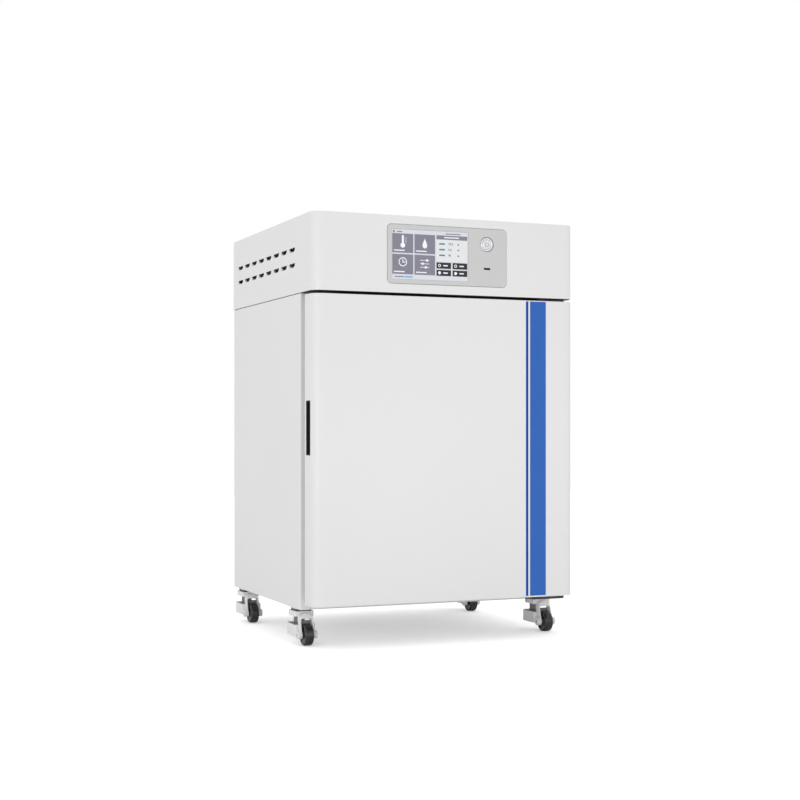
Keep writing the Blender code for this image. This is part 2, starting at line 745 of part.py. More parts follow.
def fan_cover():
    """Duct under the chamber roof, with a ring of inlet slots below the fan and open ends."""
    top = CHAMBER_TOP - FIT
    low = top - DUCT_HEIGHT
    half = CHAMBER_HALF - DUCT_SIDE
    near = FRAME_FRONT + DUCT_END
    far = CHAMBER_BACK - DUCT_END
    outer = block((-half, half), (near, far), (low, top))
    inner = block(
        (-half + SHELF_SHEET, half - SHELF_SHEET), (near - OVERCUT, far + OVERCUT),
        (low + SHELF_SHEET, top + OVERCUT),
    )
    slots = []
    for index in range(DUCT_SLOTS):
        angle = 2 * math.pi * index / DUCT_SLOTS
        slot = block(
            (DUCT_SLOT_INNER, DUCT_SLOT_OUTER), (-DUCT_SLOT_WIDTH / 2, DUCT_SLOT_WIDTH / 2),
            (low - OVERCUT, low + OVERCUT),
        )
        for vert in slot.verts:
            x, y = vert.co.x, vert.co.y
            vert.co.x = x * math.cos(angle) - y * math.sin(angle)
            vert.co.y = x * math.sin(angle) + y * math.cos(angle) + FAN_Y
        slots.append(slot)
    return cut(outer, inner, gathered(slots))


def fan_wheel():
    """Radial fan: a disc with backward-curved blades, a hub and the shaft that hangs from the motor."""
    disc_top = CHAMBER_TOP - FAN_DROP
    disc_low = disc_top - FAN_DISC
    blade_low = disc_low - FAN_HEIGHT
    shaft_top = DECK_TOP + FIT + SHAFT_GRIP
    core = turned(
        [
            (0, blade_low), (FAN_HUB_RADIUS, blade_low), (FAN_HUB_RADIUS, disc_low), (FAN_RADIUS, disc_low),
            (FAN_RADIUS, disc_top), (SHAFT_RADIUS, disc_top), (SHAFT_RADIUS, shaft_top), (0, shaft_top),
        ],
        "Z", (0, FAN_Y),
    )
    blades = []
    for index in range(FAN_BLADES):
        start = 2 * math.pi * index / FAN_BLADES
        outer_side, inner_side = [], []
        for step in range(FAN_BLADE_STEPS + 1):
            share = step / FAN_BLADE_STEPS
            radius = FAN_HUB_RADIUS * 2 + (FAN_RADIUS - 2 * FAN_HUB_RADIUS - FAN_DISC) * share
            angle = start + FAN_SWEEP * share
            half = FAN_BLADE / 2 / radius
            outer_side.append((radius * math.cos(angle + half), FAN_Y + radius * math.sin(angle + half)))
            inner_side.append((radius * math.cos(angle - half), FAN_Y + radius * math.sin(angle - half)))
        blades.append(prism(outer_side + inner_side[::-1], "Z", blade_low, disc_low + FAN_DISC / 2))
    return fused(core, gathered(blades))


def co2_sensor():
    """Infrared gas sensor head that hangs from the chamber roof."""
    top = CHAMBER_TOP - FIT
    tip = top - SENSOR_LENGTH
    flange = SENSOR_RADIUS * 1.5
    return turned(
        [
            (0, tip), (SENSOR_RADIUS * 0.8, tip), (SENSOR_RADIUS, tip + SENSOR_RADIUS * 0.2),
            (SENSOR_RADIUS, top - FAN_DISC * 2), (flange, top - FAN_DISC * 2), (flange, top), (0, top),
        ],
        "Z", (SENSOR_SIDE - CHAMBER_HALF, CHAMBER_BACK - SENSOR_REAR),
    )


# Door


def door_outline(inset):
    """Plan of the door, set in by a margin at its front and sides."""
    return front_outline(COVER_HALF - inset, inset, DOOR_THICKNESS, CORNER_RADIUS - inset)


def handle_pocket(grow):
    """The block that the handle cup takes out of the door's free edge."""
    margin = HANDLE_WALL + grow
    return block(
        (-COVER_HALF - OVERCUT, -COVER_HALF + HANDLE_REACH + grow),
        (HANDLE_DEPTH - margin, HANDLE_DEPTH + HANDLE_WIDTH + margin),
        (DOOR_LOW + HANDLE_LIFT - margin, DOOR_LOW + HANDLE_LIFT + HANDLE_LENGTH + margin),
    )


def stripe_block(start, width, grow, front, back):
    """Upright band on the door's face."""
    low = DOOR_LOW + STRIPE_MARGIN - grow
    high = DOOR_TOP - STRIPE_MARGIN + grow
    return block((start - grow, start + width + grow), (front, back), (low, high))


def door_shell():
    """Folded steel pan of the door: hinge bushes, the handle window and the beds of the stripes."""
    outer = prism(door_outline(0), "Z", DOOR_LOW, DOOR_TOP)
    inner = front_outline(COVER_HALF - SHEET, SHEET, DOOR_THICKNESS + OVERCUT, CORNER_RADIUS - SHEET)
    hollow = prism(inner, "Z", DOOR_LOW + SHEET, DOOR_TOP - SHEET)
    pivot = (HINGE_X, HINGE_Y)
    bushes = gathered([
        rod("Z", pivot, BUSH_RADIUS, DOOR_LOW, DOOR_LOW + BUSH_LENGTH),
        rod("Z", pivot, BUSH_RADIUS, DOOR_TOP - BUSH_LENGTH, DOOR_TOP),
    ])
    bores = rod("Z", pivot, PIN_RADIUS + RUNNING, DOOR_LOW - OVERCUT, DOOR_TOP + OVERCUT)
    bed = STRIPE_FILM + FIT
    beds = gathered([
        stripe_block(STRIPE_NARROW_X, STRIPE_NARROW, FIT, -OVERCUT, bed),
        stripe_block(STRIPE_WIDE_X, STRIPE_WIDE, FIT, -OVERCUT, bed),
    ])
    return cut(fused(cut(outer, hollow), bushes), bores, beds, handle_pocket(FIT))


def dish(grow, front, back):
    """The hollow pressed into the door's inner side."""
    half = GLASS_HALF + DISH_SIDE + grow
    outline = rounded(
        (-half, half), (DOOR_LOW + DISH_MARGIN - grow, DOOR_TOP - DISH_MARGIN + grow), DISH_RADIUS + grow,
    )
    return prism(outline, "Y", front, back)


def door_liner():
    """Inner skin of the door: a flat rim round a deep dish that leaves room for the glass door's knob."""
    half = COVER_HALF - SHEET - FIT
    rim_front = DOOR_THICKNESS - LINER_SHEET
    low = DOOR_LOW + SHEET + FIT
    high = DOOR_TOP - SHEET - FIT
    rim = block((-half, half), (rim_front, DOOR_THICKNESS), (low, high))
    floor = DOOR_THICKNESS - DISH_DEPTH
    body = fused(rim, dish(LINER_SHEET, floor - LINER_SHEET, DOOR_THICKNESS - LINER_SHEET / 2))
    return cut(body, dish(0, floor, DOOR_THICKNESS + OVERCUT))


def door_foam():
    """Foam core of the door."""
    inset = SHEET + FIT
    back = DOOR_THICKNESS - LINER_SHEET - FIT
    outline = front_outline(COVER_HALF - inset, inset, back, CORNER_RADIUS - inset)
    body = prism(outline, "Z", DOOR_LOW + inset, DOOR_TOP - inset)
    floor = DOOR_THICKNESS - DISH_DEPTH - LINER_SHEET - FIT
    bush = BUSH_RADIUS + FIT
    reach = BUSH_LENGTH + FIT
    bushes = gathered([
        rod("Z", (HINGE_X, HINGE_Y), bush, DOOR_LOW, DOOR_LOW + reach),
        rod("Z", (HINGE_X, HINGE_Y), bush, DOOR_TOP - reach, DOOR_TOP),
    ])
    return cut(body, dish(LINER_SHEET + FIT, floor, DOOR_THICKNESS + OVERCUT), bushes, handle_pocket(FIT))


def door_gasket():
    """Magnetic gasket between the door's rim and the frame."""
    low = DOOR_LOW + GASKET_INSET
    high = DOOR_TOP - GASKET_INSET
    left = -COVER_HALF + GASKET_INSET + OVERHANG
    right = HINGE_X - GASKET_HINGE_GAP
    near = DOOR_THICKNESS + FIT
    far = near + GASKET_THICKNESS
    outer = block((left, right), (near, far), (low, high))
    inner = block(
        (left + GASKET_WIDTH, right - GASKET_WIDTH), (near - OVERCUT, far + OVERCUT),
        (low + GASKET_WIDTH, high - GASKET_WIDTH),
    )
    return cut(outer, inner)


def handle_cup():
    """Finger pull let into the free edge of the door."""
    body = shared(handle_pocket(0), prism(door_outline(0), "Z", DOOR_LOW, DOOR_TOP))
    low = DOOR_LOW + HANDLE_LIFT
    hollow = block(
        (-COVER_HALF - OVERCUT, -COVER_HALF + HANDLE_REACH - HANDLE_WALL),
        (HANDLE_DEPTH, HANDLE_DEPTH + HANDLE_WIDTH), (low, low + HANDLE_LENGTH),
    )
    return cut(body, hollow)


def hinge_bracket(plate, foot, pin):
    """Plate with a round nose, a foot against the cabinet's front and a pin; each is a range of levels."""
    right = HINGE_X + BRACKET_NOSE
    left = right - BRACKET_WIDTH
    back = CABINET_FRONT - FIT
    outline = rounded((left, right), (HINGE_Y - BRACKET_NOSE, back), (BRACKET_NOSE, BRACKET_NOSE, 0, 0))
    body = prism(outline, "Z", plate[0], plate[1])
    heel = block((left, right), (back - BRACKET_FOOT, back), foot)
    return fused(body, heel, rod("Z", (HINGE_X, HINGE_Y), PIN_RADIUS, pin[0], pin[1]))


def hinge_lower():
    """Lower bracket, which carries the door."""
    top = DOOR_LOW - 2 * FIT
    low = top - LOWER_BRACKET
    return hinge_bracket((low, top), (UNDERSIDE + FIT, top), (top - LOWER_BRACKET / 2, top + PIN_LENGTH))


def hinge_upper():
    """Upper bracket, in the gap between the door and the cover."""
    top = SEAM - FIT
    low = top - UPPER_BRACKET
    foot = (DOOR_TOP - DOOR_GAP + FIT, top)
    return hinge_bracket((low, top), foot, (low - PIN_LENGTH, low + UPPER_BRACKET / 2))


# Glass door


def glass_outline(grow):
    """Front view of the glass door."""
    half = GLASS_HALF + grow
    low = CHAMBER_LOW - GLASS_MARGIN - grow
    high = CHAMBER_TOP + GLASS_MARGIN + grow
    return rounded((-half, half), (low, high), GLASS_RADIUS)


def inner_door_glass():
    """Toughened pane with a hole for the latch."""
    pane = prism(glass_outline(0), "Y", GLASS_FRONT, GLASS_BACK)
    radius = LATCH_STEM_RADIUS + RUNNING
    hole = rod("Y", (LATCH_X, CHAMBER_MIDDLE), radius, GLASS_FRONT - OVERCUT, GLASS_BACK + OVERCUT)
    return cut(pane, hole)


def glass_hinge_levels():
    """Middle of each glass door hinge."""
    return (CHAMBER_LOW + GLASS_HINGE_INSET, CHAMBER_TOP - GLASS_HINGE_INSET)


def inner_door_stile():
    """Metal profile along the pane's hinge edge, grooved for the glass, with a knuckle for each hinge."""
    front = GLASS_FRONT - FIT - STILE_WALL
    back = GLASS_BACK + FIT + STILE_WALL
    levels = glass_hinge_levels()
    z = (levels[0] - KNUCKLE_HEIGHT / 2, levels[-1] + KNUCKLE_HEIGHT / 2)
    past = (z[0] - OVERCUT, z[1] + OVERCUT)
    edge = GLASS_HALF + FIT
    inner = GLASS_HALF - STILE_REACH
    body = block((inner, edge + STILE_LIP), (front, back), z)
    groove = block((inner - OVERCUT, edge), (GLASS_FRONT - FIT, GLASS_BACK + FIT), past)
    relief = block((inner - OVERCUT, GLASS_HALF - STILE_LIP), (GLASS_BACK, back + OVERCUT), past)
    axis = (GLASS_HINGE_X, GLASS_AXIS_Y)
    knuckles = []
    for level in levels:
        span = (level - KNUCKLE_HEIGHT / 2, level + KNUCKLE_HEIGHT / 2)
        knuckles.append(block((edge + STILE_LIP / 2, GLASS_HINGE_X), (GLASS_FRONT, GLASS_BACK), span))
        knuckles.append(rod("Z", axis, KNUCKLE_RADIUS, span[0], span[1], steps=20))
    bore = rod("Z", axis, GLASS_PIN_RADIUS + RUNNING, past[0], past[1], steps=20)
    return cut(fused(body, *knuckles), groove, relief, bore)


def inner_hinge_strip():
    """Strip on the frame with a pair of lugs for each hinge and the pin between them."""
    back = FRAME_FRONT - FIT
    plate = back - LUG_THICKNESS / 2
    left = GLASS_HINGE_X - KNUCKLE_RADIUS - FIT
    right = GLASS_HINGE_X + 2 * KNUCKLE_RADIUS
    reach = KNUCKLE_HEIGHT / 2 + FIT + LUG_THICKNESS
    levels = glass_hinge_levels()
    strip = block((left, right), (plate, back), (levels[0] - 2 * reach, levels[-1] + 2 * reach))
    nose = GLASS_AXIS_Y - KNUCKLE_RADIUS
    corner = KNUCKLE_RADIUS / 2
    depth = (nose, plate + LUG_THICKNESS / 4)
    outline = rounded((left, GLASS_HINGE_X + KNUCKLE_RADIUS), depth, (corner, corner, 0, 0))
    additions = []
    for level in levels:
        for sign in (-1, 1):
            z = sorted((level + sign * (KNUCKLE_HEIGHT / 2 + FIT), level + sign * reach))
            additions.append(prism(outline, "Z", z[0], z[1]))
        pin_ends = (level - reach + FIT, level + reach - FIT)
        additions.append(rod("Z", (GLASS_HINGE_X, GLASS_AXIS_Y), GLASS_PIN_RADIUS, *pin_ends))
    return fused(strip, *additions)


def tongue_range():
    """Depths between which the latch tongue lies."""
    back = GLASS_FRONT - 3 * FIT
    return back - TONGUE_THICKNESS, back


def inner_door_latch():
    """Turned knob with a stem through the pane and a tongue, stored turned up and free of its keeper."""
    tongue_front, tongue_back = tongue_range()
    knob_front = tongue_front - KNOB_DEPTH
    rim = KNOB_RADIUS / 6
    knob = turned(
        [
            (0, knob_front), (KNOB_RADIUS - rim, knob_front), (KNOB_RADIUS, knob_front + rim),
            (KNOB_RADIUS, tongue_front - KNOB_DEPTH / 3), (KNOB_RADIUS / 2, tongue_front - KNOB_DEPTH / 8),
            (KNOB_RADIUS / 2, tongue_back), (LATCH_STEM_RADIUS, tongue_back),
            (LATCH_STEM_RADIUS, GLASS_BACK - FIT), (0, GLASS_BACK - FIT),
        ],
        "Y", (LATCH_X, CHAMBER_MIDDLE),
    )
    half = TONGUE_WIDTH / 2
    tip = half * 0.9
    outline = rounded(
        (LATCH_X - half, LATCH_X + half), (CHAMBER_MIDDLE, CHAMBER_MIDDLE + TONGUE_LENGTH), (0, 0, tip, tip),
    )
    return fused(knob, prism(outline, "Y", tongue_front, tongue_back))


def latch_keeper():
    """Hook on the frame behind whose lip the tongue turns."""
    tongue_front, _ = tongue_range()
    right = LATCH_X - TONGUE_LENGTH - KEEPER_PLAY
    left = right - KEEPER_WALL
    lip_back = tongue_front - KEEPER_PLAY
    lip_front = lip_back - KEEPER_WALL
    back = FRAME_FRONT - FIT
    levels = (CHAMBER_MIDDLE - KEEPER_HEIGHT / 2, CHAMBER_MIDDLE + KEEPER_HEIGHT / 2)
    wall = block((left, right), (lip_front, back), levels)
    lip = block((left, left + KEEPER_WIDTH * 0.6), (lip_front, lip_back), levels)
    foot = block((right - KEEPER_WIDTH, right), (back - KEEPER_WALL, back), levels)
    return fused(wall, lip, foot)


# Cover and electronics bay


def louvre_sections(side, start, top, grow, section):
    """Sections of one louvre from end to end; the ends rise so that the opening has a curved lower edge."""
    sections = []
    shares = (0.0, LOUVRE_TAPER, 1 - LOUVRE_TAPER, 1.0)
    for share in shares:
        height = LOUVRE_HEIGHT * (LOUVRE_END if share in (0.0, 1.0) else 1.0)
        along = start - grow + share * (LOUVRE_LENGTH + 2 * grow)
        reach = LOUVRE_DEPTH * height / LOUVRE_HEIGHT
        points = section(height, reach)
        sections.append([(side * (COVER_HALF - inward), along, top + up) for inward, up in points])
    return sections


def scoop(height, reach):
    """Cross-section of the pressed hood behind the sheet: how far in, how far up."""
    return ((SHEET / 2, -SHEET * 0.7), (SHEET / 2, -height - SHEET), (reach + SHEET, -SHEET * 0.7))


def mouth(height, reach):
    """Cross-section of what the press leaves open."""
    return ((-SHEET, 0), (-SHEET, -height), (0, -height), (reach, 0))


def louvres(grow, section):
    """Every louvre of both sides."""
    shapes = []
    for side in (-1, 1):
        for row in LOUVRE_ROWS:
            for index in range(LOUVRES):
                start = LOUVRE_FIRST + index * LOUVRE_PITCH
                shapes.append(loft(louvre_sections(side, start, COVER_LOW + row, grow, section)))
    return gathered(shapes)


def top_cover():
    """Sheet hood over the electronics: round front corners, louvred sides, panel window and rear holes."""
    outer = prism(front_outline(COVER_HALF, 0, COVER_BACK, CORNER_RADIUS), "Z", COVER_LOW, COVER_TOP)
    inside = prism(
        front_outline(COVER_HALF - SHEET, SHEET, COVER_BACK - SHEET, CORNER_RADIUS - SHEET),
        "Z", COVER_LOW - OVERCUT, COVER_TOP - SHEET,
    )
    window = prism(panel_outline(FIT), "Y", -OVERCUT, OVERCUT)
    back = (COVER_BACK - OVERCUT, COVER_BACK + OVERCUT)
    inlet = prism(inlet_outline(FIT), "Y", *back)
    barb = rod("Y", (TUBE_X, valve_level()), BARB_RADIUS + FIT, *back, steps=16)
    hood = fused(cut(outer, inside, window, gathered([inlet, barb])), louvres(SHEET, scoop))
    return cut(hood, louvres(0, mouth))


def cover_deck():
    """Floor of the electronics bay, which also closes the cover in front of the frame."""
    inset = SHEET + FIT
    outline = front_outline(COVER_HALF - inset, inset, COVER_BACK - inset, CORNER_RADIUS - inset)
    deck = prism(outline, "Z", DECK_LOW, DECK_TOP)
    return cut(deck, passages(DECK_LOW - OVERCUT, DECK_TOP + OVERCUT))


def panel_outline(grow):
    """Front view of the control panel."""
    half = PANEL_WIDTH / 2 + grow
    height = (PANEL_LOW - grow, PANEL_LOW + PANEL_HEIGHT + grow)
    return rounded((-half, half), height, PANEL_RADIUS + grow)


def screen_outline(grow):
    """Front view of the screen."""
    left = SCREEN_INSET_X - PANEL_WIDTH / 2
    low = PANEL_LOW + SCREEN_INSET_Z
    return rounded((left - grow, left + SCREEN_WIDTH + grow), (low - grow, low + SCREEN_HEIGHT + grow), 0)


def button_centre():
    """Middle of the power button."""
    return BUTTON_X, PANEL_LOW + BUTTON_LIFT


def port_outline(grow):
    """Front view of the data port."""
    middle = PANEL_LOW + PORT_Z
    width = PORT_WIDTH / 2 + grow
    height = PORT_HEIGHT / 2 + grow
    return rounded((BUTTON_X - width, BUTTON_X + width), (middle - height, middle + height), 0)


def panel_bezel():
    """Moulded control panel: rim for the cover's window, pocket for the screen, bores for button and port."""
    face = -PANEL_PROUD
    body = prism(panel_outline(0), "Y", face, PANEL_BODY)
    flange = prism(panel_outline(PANEL_FLANGE), "Y", SHEET + FIT, SHEET + FIT + PANEL_FLANGE / 2)
    pocket = prism(screen_outline(FIT), "Y", face - OVERCUT, SCREEN_THICKNESS + FIT)
    through = prism(screen_outline(-SCREEN_LEDGE), "Y", face, PANEL_BODY + OVERCUT)
    bed_floor = face + BUTTON_RING_DEPTH + FIT
    ring_bed = rod("Y", button_centre(), BUTTON_RING_RADIUS + FIT, face - OVERCUT, bed_floor)
    button_bore = rod("Y", button_centre(), BUTTON_RADIUS + FIT, face, PANEL_BODY + OVERCUT)
    port_hole = prism(port_outline(0), "Y", face - OVERCUT, PANEL_BODY + OVERCUT)
    return cut(fused(body, flange), pocket, through, ring_bed, button_bore, port_hole)


def touch_screen():
    """Screen glass with the display behind it."""
    glass = prism(screen_outline(0), "Y", 0, SCREEN_THICKNESS)
    display = prism(screen_outline(-SCREEN_LEDGE - FIT), "Y", SCREEN_THICKNESS / 2, PANEL_BODY)
    return fused(glass, display)


def button_ring():
    """Bright ring let into the panel round the power button."""
    face = -PANEL_PROUD
    bore = BUTTON_RADIUS + RUNNING
    profile = [
        (bore, face), (BUTTON_RING_RADIUS, face), (BUTTON_RING_RADIUS, face + BUTTON_RING_DEPTH),
        (bore, face + BUTTON_RING_DEPTH),
    ]
    return turned(profile, "Y", button_centre(), ring=True)


def power_button():
    """Push button: a cap in the ring and a stem that stops short of the switch on the board."""
    face = -PANEL_PROUD
    profile = [
        (0, face), (BUTTON_RADIUS, face), (BUTTON_RADIUS, BUTTON_CAP), (BUTTON_STEM_RADIUS, BUTTON_CAP),
        (BUTTON_STEM_RADIUS, BUTTON_STEM), (0, BUTTON_STEM),
    ]
    return turned(profile, "Y", button_centre())


def usb_port():
    """Data socket: a thin metal shell with its tongue."""
    body = prism(port_outline(-FIT), "Y", FIT, PORT_DEPTH)
    hollow = prism(port_outline(-FIT - PORT_WALL), "Y", FIT - OVERCUT, PORT_DEPTH - PORT_WALL)
    middle = PANEL_LOW + PORT_Z
    half = PORT_WIDTH / 3
    levels = (middle, middle + 2 * PORT_WALL)
    tongue = block((BUTTON_X - half, BUTTON_X + half), (2 * PORT_WALL, PORT_DEPTH), levels)
    return fused(cut(body, hollow), tongue)


def control_board():
    """Circuit board on four pillars behind the panel, with its larger chips."""
    front = BUTTON_STEM + BUTTON_TRAVEL + 2 * FIT
    right = (PANEL_WIDTH - BOARD_MARGIN) / 2
    left = -right
    low = PANEL_LOW + BOARD_MARGIN / 3
    high = PANEL_LOW + PANEL_HEIGHT - BOARD_MARGIN / 3
    board = block((left, right), (front, front + BOARD_THICKNESS), (low, high))
    additions = []
    for x in (left + PILLAR_RADIUS, right - PILLAR_RADIUS):
        for z in (low + PILLAR_RADIUS, high - PILLAR_RADIUS):
            ends = (PANEL_BODY + FIT, front + BOARD_THICKNESS / 2)
            additions.append(rod("Y", (x, z), PILLAR_RADIUS, *ends, steps=8))
    back = front + BOARD_THICKNESS
    for share in (0.25, 0.5, 0.75):
        x = left + share * (right - left)
        z = (low + high) / 2
        additions.append(block(
            (x - BOARD_MARGIN, x + BOARD_MARGIN), (back - BOARD_THICKNESS / 2, back + CHIP_HEIGHT),
            (z - BOARD_MARGIN, z + BOARD_MARGIN),
        ))
    return fused(board, *additions)


def power_supply():
    """Closed supply unit on the deck, with turned-out feet."""
    width, depth, height = SUPPLY_SIZE
    low = DECK_TOP + FIT
    left = SUPPLY_SIDE - COVER_HALF
    back = COVER_BACK - SUPPLY_REAR
    body = block((left, left + width), (back - depth, back), (low, low + height))
    middle = back - depth / 2
    feet = block(
        (left - SUPPLY_FOOT, left + width + SUPPLY_FOOT), (middle - depth / 4, middle + depth / 4),
        (low, low + SHEET),
    )
    return fused(body, feet)


def fan_motor():
    """Motor on the deck, bored for the fan shaft."""
    low = DECK_TOP + FIT
    high = low + MOTOR_HEIGHT
    bore = SHAFT_RADIUS + RUNNING
    bore_top = low + SHAFT_GRIP + 2 * FIT
    step = MOTOR_RADIUS * 0.8
    return turned(
        [
            (bore, low), (MOTOR_RADIUS, low), (MOTOR_RADIUS, low + 2 * SHEET), (step, low + 2 * SHEET),
            (step, high - SHEET), (step - SHEET, high), (0, high), (0, bore_top), (bore, bore_top),
        ],
        "Z", (0, FAN_Y), ring=True,
    )


def valve_level():
    """Height of the gas line through the valve."""
    return DECK_TOP + VALVE_LIFT


def co2_valve():
    """Solenoid valve: a brass body on a foot, its coil above."""
    half = VALVE_SIZE / 2
    middle = valve_level()
    x = (TUBE_X - half, TUBE_X + half)
    y = (TUBE_DEPTH - half, TUBE_DEPTH + half)
    body = block(x, y, (middle - half, middle + half))
    coil = rod("Z", (TUBE_X, TUBE_DEPTH), COIL_RADIUS, middle, middle + half + COIL_HEIGHT)
    foot_x = (TUBE_X - half, TUBE_X - half + 2 * SHEET)
    leg = block(foot_x, y, (DECK_TOP + FIT, middle))
    pad = block((TUBE_X - VALVE_SIZE, foot_x[1]), y, (DECK_TOP + FIT, DECK_TOP + FIT + 2 * SHEET))
    return fused(body, coil, leg, pad)


def gas_tube():
    """Steel tube from the valve down into the chamber."""
    bore = TUBE_RADIUS * 0.6
    low = CHAMBER_TOP - TUBE_DROP
    high = valve_level() - VALVE_SIZE / 2 - FIT
    profile = [(bore, low), (TUBE_RADIUS, low), (TUBE_RADIUS, high), (bore, high)]
    return turned(profile, "Z", (TUBE_X, TUBE_DEPTH), steps=16, ring=True)


def gas_inlet():
    """Hose barb on the back of the cover, with its nut and the stub that feeds the valve."""
    stub = TUBE_DEPTH + VALVE_SIZE / 2 + FIT
    nut = COVER_BACK + FIT
    tip = COVER_BACK + BARB_LENGTH
    ridge = (tip - nut - BARB_NUT) / 3
    profile = [
        (0, stub), (BARB_RADIUS, stub), (BARB_RADIUS, nut), (BARB_NUT_RADIUS, nut),
        (BARB_NUT_RADIUS, nut + BARB_NUT),
    ]
    for index in range(3):
        along = nut + BARB_NUT + index * ridge
        profile += [(BARB_RADIUS, along), (BARB_RADIUS * 0.7, along + ridge)]
    profile.append((0, tip))
    return turned(profile, "Y", (TUBE_X, valve_level()), steps=16)


def inlet_outline(grow):
    """Front view of the mains inlet's body."""
    middle = COVER_LOW + INLET_LIFT
    width = INLET_WIDTH / 2 - INLET_EAR + grow
    height = INLET_HEIGHT / 2 + grow
    return rounded((INLET_X - width, INLET_X + width), (middle - height, middle + height), 0)


def power_inlet():
    """Mains inlet with its screw flange, a pocket and three blades."""
    middle = COVER_LOW + INLET_LIFT
    face = COVER_BACK + FIT + INLET_FLANGE
    half = INLET_WIDTH / 2
    tall = INLET_HEIGHT / 2 + SHEET
    outline = rounded((INLET_X - half, INLET_X + half), (middle - tall, middle + tall), SHEET)
    flange = prism(outline, "Y", COVER_BACK + FIT, face)
    body = prism(inlet_outline(0), "Y", COVER_BACK - INLET_BODY, face - INLET_FLANGE / 2)
    pocket = prism(inlet_outline(-2 * SHEET), "Y", face - INLET_POCKET, face + OVERCUT)
    floor = face - INLET_POCKET
    blades = []
    for across, up in ((-1, -1), (0, 1), (1, -1)):
        x = INLET_X + across * BLADE_PITCH
        z = middle + up * BLADE_OFFSET
        blades.append(block(
            (x - BLADE_WIDTH / 2, x + BLADE_WIDTH / 2), (floor - FIT, floor + BLADE_LENGTH),
            (z - BLADE_HEIGHT / 2, z + BLADE_HEIGHT / 2),
        ))
    return fused(cut(fused(flange, body), pocket), *blades)


# Casters, drawn about their own swivel axis


def caster_plate():
    """Mounting plate with the pivot on which the caster turns."""
    half = CROWN_WIDTH / 2 - PLATE_INSET
    deep = CROWN_DEPTH / 2 - PLATE_INSET
    plate = prism(rounded((-half, half), (-deep, deep), CROWN_CORNER), "Z", PLATE_LOW, CASTER_TOP)
    low = CROWN_LIFT + CROWN_FLOOR + FIT
    pivot = rod("Z", (0, 0), PIVOT_RADIUS, low, CASTER_TOP - SHEET, CASTER_STEPS)
    return fused(plate, pivot)


def fork_arch():
    """The arch over the wheel: an inverted U from the front whose legs lean back from axle to crown."""
    inside = WHEEL_WIDTH / 2 + WHEEL_CLEARANCE
    span = inside + LEG_THICKNESS
    near = -CASTER_TRAIL - LEG_DEPTH
    far = -CASTER_TRAIL + LEG_LEAN + LEG_DEPTH
    outline = rounded((-span, span), (WHEEL_RADIUS, ARCH_TOP), (0, 0, ARCH_RADIUS, ARCH_RADIUS))
    outer = prism(outline, "Y", near, far)
    corner = ARCH_RADIUS - LEG_THICKNESS
    opening = rounded((-inside, inside), (WHEEL_RADIUS - OVERCUT, ARCH_LOW), (0, 0, corner, corner))
    crown = -CASTER_TRAIL + LEG_LEAN
    side_view = [
        (-CASTER_TRAIL - LEG_DEPTH / 2, WHEEL_RADIUS), (-CASTER_TRAIL + LEG_DEPTH / 2, WHEEL_RADIUS),
        (crown + ARCH_DEPTH / 2, ARCH_TOP), (crown - ARCH_DEPTH / 2, ARCH_TOP),
    ]
    leaning = prism(side_view, "X", -span - OVERCUT, span + OVERCUT)
    return shared(cut(outer, prism(opening, "Y", near - OVERCUT, far + OVERCUT)), leaning)


def caster_fork():
    """Swivel body: crown on the pivot, neck, housing of the foot, and the arch with bosses and axle."""
    crown = prism(
        rounded((-CROWN_WIDTH / 2, CROWN_WIDTH / 2), (-CROWN_DEPTH / 2, CROWN_DEPTH / 2), CROWN_CORNER),
        "Z", CROWN_LIFT, CROWN_TOP,
    )
    inside = WHEEL_WIDTH / 2 + WHEEL_CLEARANCE
    reach = inside + LEG_THICKNESS / 2
    half = HOUSING_WIDTH / 2
    deep = HOUSING_DEPTH / 2
    housing = prism(rounded((-half, half), (-deep, deep), HOUSING_CORNER), "Z", HOUSING_LIFT, HOUSING_TOP)
    front = WEB_SETBACK - deep
    web = block((-reach, reach), (front, front + WEB_DEPTH), (HOUSING_TOP - SHEET, HOUSING_TOP + WEB_HEIGHT))
    neck_top = CROWN_LIFT + CROWN_FLOOR / 2
    neck = rod("Z", (0, NECK_OFFSET), NECK_RADIUS, HOUSING_TOP - SHEET, neck_top, CASTER_STEPS)
    axle_line = (-CASTER_TRAIL, WHEEL_RADIUS)
    bosses = []
    for sign in (-1, 1):
        ends = sorted((sign * inside, sign * BOSS_SPAN / 2))
        bosses.append(rod("X", axle_line, BOSS_RADIUS, *ends, CASTER_STEPS))
    axle = rod("X", axle_line, AXLE_RADIUS, -reach, reach, CASTER_STEPS)
    wheel_room = rod("X", axle_line, WHEEL_RADIUS + WHEEL_CLEARANCE, -inside, inside)
    pad_room = foot_pad(FIT, HOUSING_LIFT - OVERCUT, FOOT_TOP + FIT)
    levels = (CROWN_LIFT + CROWN_FLOOR, CROWN_TOP + OVERCUT)
    bore = PIVOT_RADIUS / math.cos(math.pi / CASTER_STEPS) + RUNNING  # its flats clear the pivot's edges
    socket = rod("Z", (0, 0), bore, *levels, CASTER_STEPS)
    stem_top = FOOT_TOP + FOOT_STEM + FIT
    stem_bore = rod("Z", (0, NECK_OFFSET), FOOT_STEM_RADIUS + RUNNING, FOOT_TOP, stem_top, CASTER_STEPS)
    body = fused(cut(fused(housing, web), wheel_room), neck, cut(crown, socket), fork_arch(), *bosses, axle)
    return cut(body, pad_room, stem_bore)


def foot_pad(grow, low, high):
    """The pad of the levelling foot, behind the wheel, grown by a clearance."""
    half = HOUSING_WIDTH / 2 - FOOT_MARGIN + grow
    back = HOUSING_DEPTH / 2 - FOOT_MARGIN + grow
    return prism(rounded((-half, half), (-FOOT_FRONT - grow, back), HOUSING_CORNER), "Z", low, high)


